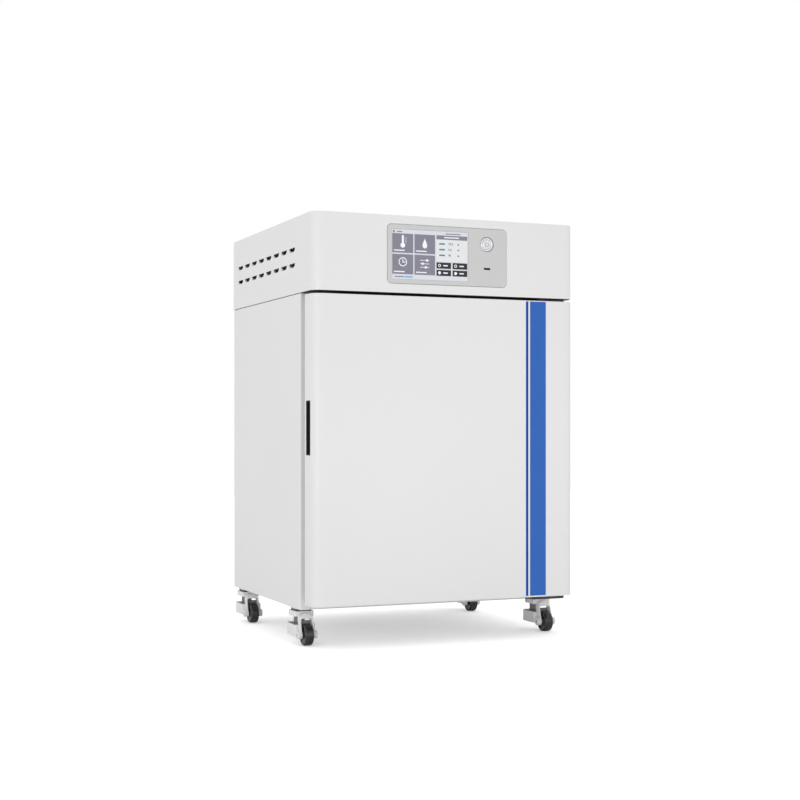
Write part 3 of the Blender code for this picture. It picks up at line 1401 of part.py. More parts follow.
def caster_foot():
    """Levelling foot: a pad drawn into the housing, on the stem that screws down out of the neck."""
    pad = foot_pad(0, FOOT_LOW, FOOT_TOP)
    top = FOOT_TOP + FOOT_STEM
    stem = rod("Z", (0, NECK_OFFSET), FOOT_STEM_RADIUS, FOOT_TOP - SHEET, top, CASTER_STEPS)
    return fused(pad, stem)


def caster_wheel():
    """Wheel with a flat tread, rounded shoulders and dished sides."""
    half = WHEEL_WIDTH / 2
    tread = WHEEL_TREAD / 2
    bore = AXLE_RADIUS + RUNNING
    shoulder = (half - tread) * 0.35
    rim = WHEEL_RADIUS * 0.72
    hub = WHEEL_RADIUS * 0.36
    right = [
        (WHEEL_RADIUS, tread), (WHEEL_RADIUS - shoulder, half - shoulder), (rim, half),
        (rim - shoulder, half - WHEEL_RECESS), (hub + shoulder, half - WHEEL_RECESS), (hub, half),
        (bore, half),
    ]
    left = [(radius, -along) for radius, along in reversed(right)]
    return turned(left + right, "X", (-CASTER_TRAIL, WHEEL_RADIUS), ring=True)


def build_cabinet(front):
    """Everything that stays still."""
    piece("cabinet_shell", cabinet_shell(), WHITE_PAINT, front)
    piece("base_pan", base_pan(), WHITE_PAINT, front)
    piece("rear_panel", rear_panel(), WHITE_PAINT, front)
    piece("insulation", insulation(), FOAM, front)
    piece("inner_chamber", inner_chamber(), STEEL, front)
    piece("front_frame", front_frame(), GREY_PLASTIC, front)
    piece("chamber_seal", chamber_seal(), SILICONE, front)
    piece("shelf_rail_left", shelf_rail(-1), STEEL, front)
    piece("shelf_rail_right", shelf_rail(1), STEEL, front)
    piece("fan_cover", fan_cover(), STEEL, front)
    piece("co2_sensor", co2_sensor(), WHITE_PLASTIC, front)
    piece("hinge_lower", hinge_lower(), DARK_PAINT, front)
    piece("hinge_upper", hinge_upper(), DARK_PAINT, front)
    piece("inner_hinge_strip", inner_hinge_strip(), ZINC, front)
    piece("latch_keeper", latch_keeper(), ZINC, front)


def build_cover(front):
    """The cover with its control panel and what the bay holds."""
    piece("top_cover", top_cover(), WHITE_PAINT, front)
    piece("cover_deck", cover_deck(), WHITE_PAINT, front)
    piece("panel_bezel", panel_bezel(), GREY_PLASTIC, front)
    piece("touch_screen", touch_screen(), SCREEN, front)
    piece("button_ring", button_ring(), CHROME, front)
    piece("usb_port", usb_port(), BLACK_PLASTIC, front)
    piece("control_board", control_board(), BOARD, front)
    piece("power_supply", power_supply(), ZINC, front)
    piece("fan_motor", fan_motor(), ZINC, front)
    piece("co2_valve", co2_valve(), BRASS, front)
    piece("gas_tube", gas_tube(), STEEL, front)
    piece("gas_inlet", gas_inlet(), BRASS, front)
    piece("power_inlet", power_inlet(), BLACK_PLASTIC, front)
    x, z = button_centre()
    button_seat = Seat("power_button_axis", (x, -PANEL_PROUD, z), front)
    piece("power_button", power_button(), CHROME, button_seat)


def build_door(front):
    """The outer door on its hinge axis."""
    axis = Seat("door_axis", (HINGE_X, HINGE_Y, DOOR_LOW), front)
    piece("door_shell", door_shell(), WHITE_PAINT, axis)
    piece("door_liner", door_liner(), WHITE_PLASTIC, axis)
    piece("door_foam", door_foam(), FOAM, axis)
    piece("door_gasket", door_gasket(), RUBBER, axis)
    piece("handle_cup", handle_cup(), BLACK_PLASTIC, axis)
    narrow = stripe_block(STRIPE_NARROW_X, STRIPE_NARROW, 0, 0, STRIPE_FILM)
    piece("door_stripe_narrow", narrow, BLUE_FILM, axis)
    wide = stripe_block(STRIPE_WIDE_X, STRIPE_WIDE, 0, 0, STRIPE_FILM)
    piece("door_stripe_wide", wide, BLUE_FILM, axis)


def build_inner_door(front):
    """The glass door on its hinge axis, and the latch on its own."""
    axis = Seat("inner_door_axis", (GLASS_HINGE_X, GLASS_AXIS_Y, CHAMBER_MIDDLE), front)
    piece("inner_door_glass", inner_door_glass(), GLASS, axis)
    piece("inner_door_stile", inner_door_stile(), ZINC, axis)
    latch = Seat("latch_axis", (LATCH_X, GLASS_FRONT, CHAMBER_MIDDLE), axis)
    piece("inner_door_latch", inner_door_latch(), ZINC, latch)


def build_contents(front):
    """The pieces that slide out of the chamber, and the fan."""
    for index in range(SHELF_COUNT):
        seat = Seat(f"shelf_{index + 1}_slide", (0, FRAME_FRONT + SHELF_SETBACK, shelf_level(index)), front)
        piece(f"shelf_{index + 1}", shelf(index), STEEL, seat)
    tray_seat = Seat("water_tray_slide", (0, FRAME_FRONT + TRAY_SETBACK, CHAMBER_LOW), front)
    piece("water_tray", water_tray(), STEEL, tray_seat)
    fan_seat = Seat("fan_axis", (0, FAN_Y, CHAMBER_TOP), front)
    piece("fan_wheel", fan_wheel(), BLACK_PLASTIC, fan_seat)


def build_casters(front):
    """Four casters that share their meshes, each with its swivel, wheel and foot."""
    first = {}
    across = CABINET_HALF - CASTER_SIDE
    for row, depth in (("front", CASTER_FRONT), ("rear", CASTER_REAR)):
        for side, x in (("left", -across), ("right", across)):
            name = f"{row}_{side}"
            seat = Seat(f"swivel_{name}", (x, depth, 0), front)
            pieces = (
                ("caster_plate", caster_plate, ZINC), ("caster_fork", caster_fork, GREY_PAINT),
                ("caster_foot", caster_foot, GREY_PAINT), ("caster_wheel", caster_wheel, TREAD),
            )
            for kind, shape, finish in pieces:
                full_name = f"{kind}_{name}"
                if kind in first:
                    copied(full_name, first[kind], seat)
                else:
                    first[kind] = piece(full_name, shape(), finish, seat, drawn_in_place=False)


def main():
    """Builds the whole incubator."""
    clear_scene()
    front = Seat("front_plane")
    build_cabinet(front)
    build_cover(front)
    build_door(front)
    build_inner_door(front)
    build_contents(front)
    build_casters(front)
    front.empty.location.y = FRONT_PLANE_Y


main()
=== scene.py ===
"""Looks of a floor-standing carbon dioxide incubator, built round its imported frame.

Lengths are in metres unless a name ends in _mm. Every new piece is worked out with numpy in the frame's own
coordinates: x to the right, y from the door to the back, z up from the floor.
"""

import logging
import math
from dataclasses import dataclass, field
from enum import Enum
from typing import Any, ClassVar, Iterable, Sequence

import bmesh
import bpy
import numpy as np
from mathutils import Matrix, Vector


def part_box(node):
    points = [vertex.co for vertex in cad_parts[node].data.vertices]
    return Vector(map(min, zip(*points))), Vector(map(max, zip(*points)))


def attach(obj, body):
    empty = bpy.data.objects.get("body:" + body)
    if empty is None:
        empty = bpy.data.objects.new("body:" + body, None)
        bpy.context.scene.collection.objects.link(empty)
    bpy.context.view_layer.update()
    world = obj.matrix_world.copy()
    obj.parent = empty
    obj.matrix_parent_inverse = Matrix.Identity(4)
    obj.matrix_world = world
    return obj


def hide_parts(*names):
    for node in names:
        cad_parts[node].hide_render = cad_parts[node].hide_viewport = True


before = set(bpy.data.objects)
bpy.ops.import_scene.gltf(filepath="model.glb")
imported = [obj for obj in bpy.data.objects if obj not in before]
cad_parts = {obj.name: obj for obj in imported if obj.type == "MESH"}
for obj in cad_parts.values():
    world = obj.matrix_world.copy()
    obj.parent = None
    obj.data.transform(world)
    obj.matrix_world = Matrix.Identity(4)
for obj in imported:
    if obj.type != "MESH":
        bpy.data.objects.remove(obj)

LOG = logging.getLogger("incubator")
Array = np.ndarray
Span = tuple[float, float]
Point = tuple[float, float, float]
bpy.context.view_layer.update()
MM = 0.001
FULL_TURN = 2 * math.pi
QUARTER_TURN = math.pi / 2
WELD = 1e-7  # points nearer than this are one point
LEAST_LENGTH = 1e-9  # taken for a length of zero, where something is divided by it
MOST_OF_EDGE = 0.49  # share of an edge that the curve at one of its ends may take
SHARP = 35.0  # degrees between two faces past which their edge stays sharp
WHITE = "#FFFFFF"

# Sockets of a Mix node that is set to colour, and the period of a Wave texture at scale 1
MIX_COLOUR_A, MIX_COLOUR_B, MIX_COLOUR_OUT = 6, 7, 2
WAVE_PERIOD = 0.314

# Camera, from the vanishing lines of the photograph
CAMERA_PLACE = (-1.2461, -3.0317, 0.448)
CAMERA_YAW = math.radians(22.562)
CAMERA_LENS = 65.94
CAMERA_SHIFT_Y = 0.03245


class Axis(Enum):
    """The axis that a shape is carried along, with where its u, v and along coordinates go."""

    X = (2, 0, 1)
    Y = (0, 2, 1)
    Z = (0, 1, 2)

    def place(self, u: Array, v: Array, along: Array) -> Array:
        """Points with x, y and z last, from two coordinates across this axis and one along it."""
        parts = (u, v, along)
        return np.stack([parts[index] for index in self.value], axis=-1)


class Side(Enum):
    """Left or right of the middle, with the sign of x there."""

    LEFT = -1
    RIGHT = 1


@dataclass(frozen=True)
class Box:
    """Lowest and highest corner of a node of the frame."""

    low: Array
    high: Array

    @classmethod
    def of(cls, node: str) -> "Box":
        """The box of a node, by its name."""
        low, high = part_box(node)
        return cls(np.array(low), np.array(high))

    @property
    def middle(self) -> Array:
        """Centre of the box."""
        return (self.low + self.high) / 2

    @property
    def size(self) -> Array:
        """Edge lengths of the box."""
        return self.high - self.low

    def span(self, axis: int, inset: float = 0.0) -> Span:
        """Range of the box along an axis, set in at both ends."""
        return float(self.low[axis] + inset), float(self.high[axis] - inset)

    def wall(self, side: Side) -> float:
        """Level of the box's left or right face."""
        return float(self.high[0] if side is Side.RIGHT else self.low[0])


# Surfaces


@dataclass
class Surface:
    """A mesh in the making.

    Args:
        points: one row of x, y and z for each point.
        faces: the points of each face.
    """

    points: Array
    faces: list[list[int]]

    def __add__(self, other: "Surface") -> "Surface":
        """Both surfaces as one.

        Args:
            other: the surface that comes after this one.

        Returns:
            The joined surface.
        """
        shift = len(self.points)
        moved = [[index + shift for index in face] for face in other.faces]
        return Surface(np.vstack([self.points, other.points]), self.faces + moved)

    def moved(self, offset: Sequence[float]) -> "Surface":
        """A copy at another place."""
        return Surface(self.points + np.asarray(offset), self.faces)


def gathered(surfaces: Iterable[Surface]) -> Surface:
    """Several surfaces as one.

    Args:
        surfaces: the surfaces, in order.

    Returns:
        One surface that holds them all.
    """
    parts = list(surfaces)
    shifts = np.cumsum([0] + [len(part.points) for part in parts[:-1]])
    faces = [
        [index + int(shift) for index in face]
        for part, shift in zip(parts, shifts) for face in part.faces
    ]
    return Surface(np.vstack([part.points for part in parts]), faces)


def grid_surface(grid: Array, wrap: bool = True, ring: bool = False, caps: bool = True) -> Surface:
    """Surface over a grid of points: each cell of four neighbours becomes one face.

    Args:
        grid: points as rows by columns by 3.
        wrap: whether the last column joins the first.
        ring: whether the last row joins the first.
        caps: whether the first and last rows are closed by one face each.

    Returns:
        The surface.
    """
    rows, columns = grid.shape[:2]
    row = np.arange(rows if ring else rows - 1)[:, None]
    column = np.arange(columns if wrap else columns - 1)[None, :]
    next_row = (row + 1) % rows
    next_column = (column + 1) % columns
    corners = (
        row * columns + column, row * columns + next_column,
        next_row * columns + next_column, next_row * columns + column,
    )
    faces = np.stack(np.broadcast_arrays(*corners), axis=-1).reshape(-1, 4).tolist()
    if caps and not ring:
        faces.append(list(range(columns))[::-1])
        faces.append(list(range((rows - 1) * columns, rows * columns)))
    return Surface(grid.reshape(-1, 3), faces)


def open_ring(rim: Array) -> Surface:
    """Closed solid of a closed section carried over columns, with one face at each end.

    Args:
        rim: rows round the section by columns by 3.

    Returns:
        The solid's surface.
    """
    rows = rim.shape[0]
    ends = Surface(np.vstack([rim[:, 0], rim[:, -1]]), [list(range(rows)), list(range(rows, 2 * rows))[::-1]])
    return grid_surface(rim, wrap=False, ring=True, caps=False) + ends


@dataclass(frozen=True)
class Outline:
    """Closed plan curve made of arcs, kept so that it can be set in evenly.

    Each point is an arc's centre plus a direction times the arc's radius, and an inset shortens every radius.
    """

    centres: Array
    directions: Array
    radii: Array

    @classmethod
    def rectangle(cls, u: Span, v: Span, radii: float | Sequence[float], steps: int = 8) -> "Outline":
        """Rectangle with round corners.

        Args:
            u: range of the first coordinate.
            v: range of the second coordinate.
            radii: one radius, or one for each corner from low-low round by way of high-low.
            steps: faces in each corner.

        Returns:
            The outline.
        """
        sizes = np.broadcast_to(np.asarray(radii, dtype=float), (4,))
        signs = np.array([(1, 1), (-1, 1), (-1, -1), (1, -1)])
        corners = np.array([(u[0], v[0]), (u[1], v[0]), (u[1], v[1]), (u[0], v[1])])
        centres = corners + signs * sizes[:, None]
        corner_angles = math.pi + np.arange(4)[:, None] * QUARTER_TURN
        angles = corner_angles + np.linspace(0, QUARTER_TURN, steps + 1)[None, :]
        directions = np.stack([np.cos(angles), np.sin(angles)], axis=-1)
        return cls(
            np.repeat(centres, steps + 1, axis=0), directions.reshape(-1, 2), np.repeat(sizes, steps + 1)
        )

    @classmethod
    def centred(cls, half: Sequence[float], radius: float) -> "Outline":
        """Rectangle with round corners about the axis, from its half widths."""
        return cls.rectangle((-half[0], half[0]), (-half[1], half[1]), radius)

    @classmethod
    def circle(cls, centre: Sequence[float], radius: float, steps: int = 48) -> "Outline":
        """Circle as one arc.

        Args:
            centre: its centre across the axis.
            radius: its radius.
            steps: faces round it.

        Returns:
            The outline.
        """
        angles = np.arange(steps) * FULL_TURN / steps
        directions = np.stack([np.cos(angles), np.sin(angles)], axis=-1)
        return cls(np.tile(np.asarray(centre, dtype=float), (steps, 1)), directions, np.full(steps, radius))

    def inset(self, amount: float | Array) -> Array:
        """The curve's points after an inset."""
        return self.centres + self.directions * (self.radii - amount)[..., None]


def carried(outline: Outline, profile: Array, axis: Axis) -> Array:
    """Grid of an outline carried along a profile: each profile row sets the outline in and moves it along.

    Args:
        outline: the closed curve across the axis.
        profile: rows of (inset, along).
        axis: the axis of the move.

    Returns:
        Grid of points, profile rows by outline points by 3.
    """
    flat = np.stack([outline.inset(inset) for inset in profile[:, 0]])
    along = np.broadcast_to(profile[:, 1][:, None], flat.shape[:2])
    return axis.place(flat[..., 0], flat[..., 1], along)


def edge_profile(low: float, high: float, low_edge: float, high_edge: float, steps: int = 4) -> Array:
    """Profile of a wall with a quarter-round at each end: inset r(1 - sin t), rise r(1 - cos t).

    Args:
        low: start of the wall.
        high: end of the wall.
        low_edge: radius of the first edge.
        high_edge: radius of the last edge.
        steps: faces in each round.

    Returns:
        Rows of (inset, along).
    """
    turn = np.linspace(0, QUARTER_TURN, steps + 1)
    start = np.stack([low_edge * (1 - np.sin(turn)), low + low_edge * (1 - np.cos(turn))], axis=-1)
    end = np.stack([high_edge * (1 - np.sin(turn)), high - high_edge * (1 - np.cos(turn))], axis=-1)[::-1]
    return np.vstack([start if low_edge else start[:1], end if high_edge else end[:1]])


def rounded_solid(
    outline: Outline, low: float, high: float, axis: Axis, low_edge: float = 0.0, high_edge: float = 0.0,
) -> Surface:
    """Closed solid of an outline between two levels, with round edges.

    Args:
        outline: the closed curve across the axis.
        low: first level.
        high: last level.
        axis: axis of the levels.
        low_edge: edge radius at the first level.
        high_edge: edge radius at the last level.

    Returns:
        The solid's surface.
    """
    return grid_surface(carried(outline, edge_profile(low, high, low_edge, high_edge), axis))


def block(x: Sequence[float], y: Sequence[float], z: Sequence[float], edge: float = 0.0) -> Surface:
    """Box over three ranges with rounded edges.

    Args:
        x: range along x.
        y: range along y.
        z: range along z.
        edge: radius of every edge.

    Returns:
        The box.
    """
    outline = Outline.rectangle(tuple(x), tuple(y), edge, steps=3)
    if edge == 0:
        corners = np.array([(x[0], y[0]), (x[1], y[0]), (x[1], y[1]), (x[0], y[1])], dtype=float)
        outline = Outline(corners, np.zeros((4, 2)), np.zeros(4))
    return rounded_solid(outline, z[0], z[1], Axis.Z, edge, edge)


def revolved(
    profile: Sequence[Sequence[float]], centre: Sequence[float], axis: Axis, steps: int = 48,
    ring: bool = False,
) -> Surface:
    """Solid of revolution: each profile point of (radius, along) sweeps one circle about the axis.

    Args:
        profile: rows of (radius, along); a radius of zero closes an end.
        centre: where the axis crosses the plane across it.
        axis: the axis of the turn.
        steps: faces round it.
        ring: whether the profile closes on itself.

    Returns:
        The surface.
    """
    rows = np.asarray(profile, dtype=float)
    angles = np.arange(steps) * FULL_TURN / steps
    u = centre[0] + rows[:, :1] * np.cos(angles)[None, :]
    v = centre[1] + rows[:, :1] * np.sin(angles)[None, :]
    along = np.broadcast_to(rows[:, 1:], u.shape)
    return grid_surface(axis.place(u, v, along), ring=ring)


def cylinder(radius: float, levels: Span, centre: Sequence[float], axis: Axis, steps: int = 48) -> Surface:
    """Cylinder between two levels: a line at its radius turned about the axis.

    Args:
        radius: its radius.
        levels: its ends along the axis.
        centre: where the axis crosses the plane across it.
        axis: its axis.
        steps: faces round it.

    Returns:
        The surface.
    """
    low, high = levels
    return revolved([(0, low), (radius, low), (radius, high), (0, high)], centre, axis, steps)


def rounded_profile(
    corners: Sequence[Sequence[float]], radius: float | Sequence[float], steps: int = 4,
    closed: bool = False,
) -> Array:
    """Polyline whose corners are rounded by quadratic curves from r before the corner to r after it.

    Args:
        corners: the polyline's points.
        radius: how far from each corner its curve starts, one value or one for each corner.
        steps: faces in each corner.
        closed: whether the line returns to its start.

    Returns:
        The new points.
    """
    points = np.asarray(corners, dtype=float)
    count = len(points)
    reach = np.broadcast_to(np.asarray(radius, dtype=float), (count,))
    before = np.roll(points, 1, axis=0)
    after = np.roll(points, -1, axis=0)

    def towards(target: Array) -> Array:
        """Start of each corner's curve on the way to a neighbour.

        Args:
            target: the neighbours.

        Returns:
            One point for each corner.
        """
        way = target - points
        length = np.linalg.norm(way, axis=1, keepdims=True)
        step = np.minimum(reach[:, None], length * MOST_OF_EDGE)
        return points + way / np.maximum(length, LEAST_LENGTH) * step

    first, last = towards(before), towards(after)
    share = np.linspace(0, 1, steps + 1)[None, :, None]
    curves = (1 - share) ** 2 * first[:, None] + 2 * share * (1 - share) * points[:, None]
    curves = curves + share**2 * last[:, None]
    if closed:
        return curves.reshape(-1, points.shape[1])
    inner = curves[1:-1].reshape(-1, points.shape[1])
    return np.vstack([points[:1], inner, points[-1:]])


# Finishes


def linear(colour: str) -> tuple[float, float, float, float]:
    """Linear colour of an sRGB hex value such as "#E6E6E6", by the constants of the sRGB curve.

    Args:
        colour: the hex value.

    Returns:
        Red, green, blue and an alpha of 1.
    """
    channels = [int(colour[start:start + 2], 16) / 255 for start in (1, 3, 5)]
    values = [c / 12.92 if c <= 0.04045 else ((c + 0.055) / 1.055) ** 2.4 for c in channels]
    return (*values, 1.0)


def per_metre(size_mm: float) -> float:
    """Scale of a pattern from the real size of one of its cells."""
    return 1 / (size_mm * MM)


def add_node(
    tree: bpy.types.NodeTree, kind: str, settings: dict[str | int, Any] | None = None,
    links: dict[str | int, bpy.types.NodeSocket] | None = None,
) -> bpy.types.Node:
    """Adds a node, sets its properties and inputs, and links what feeds it.

    Args:
        tree: the node tree.
        kind: the node's type name.
        settings: values for its properties or, where it has no such one, for its inputs by name or number.
        links: for each input's name or number, the output that feeds it.

    Returns:
        The node.
    """
    made = tree.nodes.new(kind)
    for key, value in (settings or {}).items():
        if isinstance(key, str) and hasattr(made, key):
            setattr(made, key, value)
        else:
            made.inputs[key].default_value = value
    for key, source in (links or {}).items():
        tree.links.new(source, made.inputs[key])
    return made


@dataclass(frozen=True)
class Shading:
    """A material's nodes while its finish is made.

    Args:
        tree: the node tree.
        shader: its main shader.
        place: the object coordinates that every pattern follows.
    """

    tree: bpy.types.NodeTree
    shader: bpy.types.Node
    place: bpy.types.NodeSocket

    def even(self, values: dict[str, Any]) -> None:
        """Sets inputs of the shader that are the same all over the surface."""
        for key, value in values.items():
            self.shader.inputs[key].default_value = value


@dataclass(frozen=True)
class Pattern:
    """What the nodes of a finish do to its colour and its surface.

    Args:
        tone: how far the colour drifts, from 0 to 1; without it the colour is even.
        shade: the colour that it drifts towards, as a hex value.
        height: the relief; without it the surface is smooth.
        strength: how much of the relief shows, from 0 to 1.
        depth_mm: depth of the relief.
    """

    tone: bpy.types.NodeSocket | None = None
    shade: str = WHITE
    height: bpy.types.NodeSocket | None = None
    strength: float = 0.0
    depth_mm: float = 0.0


@dataclass(frozen=True)
class Finish:
    """A surface as its maker leaves it.

    Args:
        name: the material's name, after the real material.
        slot: the record's slot; not used.
        colour: base colour as an sRGB hex value.
        roughness: of the shader.
        metallic: of the shader.
    """

    name: str
    slot: str
    colour: str
    roughness: float = 0.5
    metallic: float = 0.0

    made: ClassVar[dict[str, bpy.types.Material]] = {}

    def material(self) -> bpy.types.Material:
        """The material, made on first use.

        Returns:
            The same material each time.
        """
        if self.name not in self.made:
            material = bpy.data.materials.new(self.name)
            material.use_nodes = True
            tree = material.node_tree
            place = add_node(tree, "ShaderNodeTexCoord").outputs["Object"]
            shader = tree.nodes["Principled BSDF"]
            shading = Shading(tree, shader, place)
            shading.even({
                "Base Color": linear(self.colour), "Roughness": self.roughness, "Metallic": self.metallic,
            })
            pattern = self.dress(shading)
            if pattern.tone is not None:
                blend = {
                    "data_type": "RGBA",
                    MIX_COLOUR_A: linear(self.colour), MIX_COLOUR_B: linear(pattern.shade),
                }
                mix = add_node(tree, "ShaderNodeMix", blend, {"Factor": pattern.tone})
                tree.links.new(mix.outputs[MIX_COLOUR_OUT], shader.inputs["Base Color"])
            if pattern.height is not None:
                depth = {"Strength": pattern.strength, "Distance": pattern.depth_mm * MM}
                bump = add_node(tree, "ShaderNodeBump", depth, {"Height": pattern.height})
                tree.links.new(bump.outputs["Normal"], shader.inputs["Normal"])
            self.made[self.name] = material
        return self.made[self.name]

    def dress(self, shading: Shading) -> Pattern:
        """Adds the nodes of the finish's own pattern; each kind of finish has its own."""
        return Pattern()


@dataclass(frozen=True)
class PowderCoat(Finish):
    """Powder-coated sheet: the cured powder leaves a faint orange peel and an even satin gloss.

    Args:
        shade: the colour that the coat's tone drifts towards.
        peel_mm: width of one swell of the peel.
        peel_depth_mm: its depth.
        peel_strength: how much of the peel shows.
        drift_mm: width of a patch of thicker or thinner coat, three to the metre.
    """

    shade: str = "#DFDFDE"
    peel_mm: float = 1.6
    peel_depth_mm: float = 0.02
    peel_strength: float = 0.25
    drift_mm: float = 1000 / 3

    def dress(self, shading: Shading) -> Pattern:
        """Noise at the peel's size for the bump, and a slow one for the drift of the coat's thickness.

        Args:
            shading: the material's nodes.

        Returns:
            What they do to the surface.
        """
        noise, place = "ShaderNodeTexNoise", {"Vector": shading.place}
        peel = add_node(shading.tree, noise, {"Scale": per_metre(self.peel_mm), "Detail": 2.0}, place)
        drift = add_node(shading.tree, noise, {"Scale": per_metre(self.drift_mm), "Detail": 1.0}, place)
        return Pattern(
            drift.outputs["Fac"], self.shade, peel.outputs["Fac"], self.peel_strength, self.peel_depth_mm,
        )


@dataclass(frozen=True)
class MouldedPlastic(Finish):
    """Injection-moulded ABS: the tool's spark-eroded grain gives a fine matt texture.

    Args:
        shade: the colour towards the edges of the grain's cells.
        grain_mm: width of a grain.
        grain_depth_mm: its depth.
        grain_strength: how much of the grain shows.
    """

    shade: str = "#C4C4C4"
    grain_mm: float = 0.5
    grain_depth_mm: float = 0.03
    grain_strength: float = 0.3

    def dress(self, shading: Shading) -> Pattern:
        """Cells at the grain's size for bump and a slight change of tone.

        Args:
            shading: the material's nodes.

        Returns:
            What they do to the surface.
        """
        grain = add_node(
            shading.tree, "ShaderNodeTexVoronoi",
            {"Scale": per_metre(self.grain_mm)}, {"Vector": shading.place},
        )
        cells = grain.outputs["Distance"]
        return Pattern(cells, self.shade, cells, self.grain_strength, self.grain_depth_mm)


@dataclass(frozen=True)
class BrushedSteel(Finish):
    """Cold-rolled stainless sheet: fine lines along the rolling direction stretch the highlights across them.

    Args:
        shade: the colour in the lines.
        line_mm: width of a line, drawn coarser than real so that it shows.
        along: the axis the lines run along.
        stretch: scale of the pattern along the lines, against 1 across them.
        gloss: least and greatest roughness, as shares of the finish's own.
        line_strength: how much of the lines shows.
        line_depth_mm: depth of a line.
    """

    shade: str = "#B9BBBD"
    line_mm: float = 0.6
    along: Axis = Axis.Y
    stretch: float = 0.025
    gloss: Span = (0.8, 1.25)
    line_strength: float = 0.15
    line_depth_mm: float = 0.02

    def dress(self, shading: Shading) -> Pattern:
        """Noise stretched along the rolling direction for tone, gloss and bump.

        Args:
            shading: the material's nodes.

        Returns:
            What they do to the surface.
        """
        scale = tuple(self.stretch if axis is self.along else 1.0 for axis in Axis)
        mapped = add_node(shading.tree, "ShaderNodeMapping", {"Scale": scale}, {"Vector": shading.place})
        lines = add_node(
            shading.tree, "ShaderNodeTexNoise", {"Scale": per_metre(self.line_mm), "Detail": 3.0},
            {"Vector": mapped.outputs["Vector"]},
        ).outputs["Fac"]
        low, high = (self.roughness * share for share in self.gloss)
        gloss = add_node(
            shading.tree, "ShaderNodeMapRange", {"To Min": low, "To Max": high}, {"Value": lines},
        )
        shading.tree.links.new(gloss.outputs["Result"], shading.shader.inputs["Roughness"])
        return Pattern(lines, self.shade, lines, self.line_strength, self.line_depth_mm)


@dataclass(frozen=True)
class PlatedMetal(Finish):
    """Zinc or nickel plate: crystals a few millimetres wide catch the light a little differently.

    Args:
        shade: the duller crystals' colour.
        crystal_mm: width of a crystal.
        fine_mm: width of the plate's fine relief, 1500 to the metre.
        fine_strength: how much of it shows.
        fine_depth_mm: its depth.
    """

    shade: str = "#A9ACAF"
    crystal_mm: float = 2.5
    fine_mm: float = 2 / 3
    fine_strength: float = 0.15
    fine_depth_mm: float = 0.01

    def dress(self, shading: Shading) -> Pattern:
        """Cells for the crystals' tone, fine noise for the bump.

        Args:
            shading: the material's nodes.

        Returns:
            What they do to the surface.
        """
        place = {"Vector": shading.place}
        cells = add_node(shading.tree, "ShaderNodeTexVoronoi", {"Scale": per_metre(self.crystal_mm)}, place)
        tone = add_node(shading.tree, "ShaderNodeSeparateColor", links={"Color": cells.outputs["Color"]})
        fine = add_node(
            shading.tree, "ShaderNodeTexNoise", {"Scale": per_metre(self.fine_mm), "Detail": 2.0}, place,
        )
        return Pattern(
            tone.outputs["Red"], self.shade, fine.outputs["Fac"], self.fine_strength, self.fine_depth_mm,
        )


@dataclass(frozen=True)
class SoftRubber(Finish):
    """Moulded elastomer: matt, with a faint bloom that lightens it in patches.

    Args:
        bloom: the bloomed colour.
        patch_mm: width of a patch.
        skin_mm: width of the moulded skin's relief, 1800 to the metre.
        skin_strength: how much of it shows.
        skin_depth_mm: its depth.
        sheen: strength of the dusty edge light.
    """

    bloom: str = "#5A5A5C"
    patch_mm: float = 6.0
    skin_mm: float = 5 / 9
    skin_strength: float = 0.3
    skin_depth_mm: float = 0.03
    sheen: float = 0.05

    def dress(self, shading: Shading) -> Pattern:
        """Slow noise for the bloom, fine noise for the moulded skin.

        Args:
            shading: the material's nodes.

        Returns:
            What they do to the surface.
        """
        noise, place = "ShaderNodeTexNoise", {"Vector": shading.place}
        patches = add_node(shading.tree, noise, {"Scale": per_metre(self.patch_mm), "Detail": 4.0}, place)
        skin = add_node(shading.tree, noise, {"Scale": per_metre(self.skin_mm), "Detail": 2.0}, place)
        shading.even({"Sheen Weight": self.sheen})
        return Pattern(
            patches.outputs["Fac"], self.bloom, skin.outputs["Fac"], self.skin_strength, self.skin_depth_mm,
        )


@dataclass(frozen=True)
class ClearGlass(Finish):
    """Toughened soda-lime pane: clear, with a faint green body colour.

    Args:
        ior: refractive index of soda-lime glass.
        ripple_mm: width of a ripple from the toughening oven, twelve to the metre.
        ripple_strength: how much of it shows.
        ripple_depth_mm: its depth.
    """

    ior: float = 1.5
    ripple_mm: float = 250 / 3
    ripple_strength: float = 0.1
    ripple_depth_mm: float = 0.02

    def dress(self, shading: Shading) -> Pattern:
        """Full transmission; the very slow ripple bends the highlights.

        Args:
            shading: the material's nodes.

        Returns:
            What they do to the surface.
        """
        shading.even({"Transmission Weight": 1.0, "IOR": self.ior})
        ripple = add_node(
            shading.tree, "ShaderNodeTexNoise",
            {"Scale": per_metre(self.ripple_mm)}, {"Vector": shading.place},
        )
        return Pattern(
            height=ripple.outputs["Fac"], strength=self.ripple_strength, depth_mm=self.ripple_depth_mm,
        )


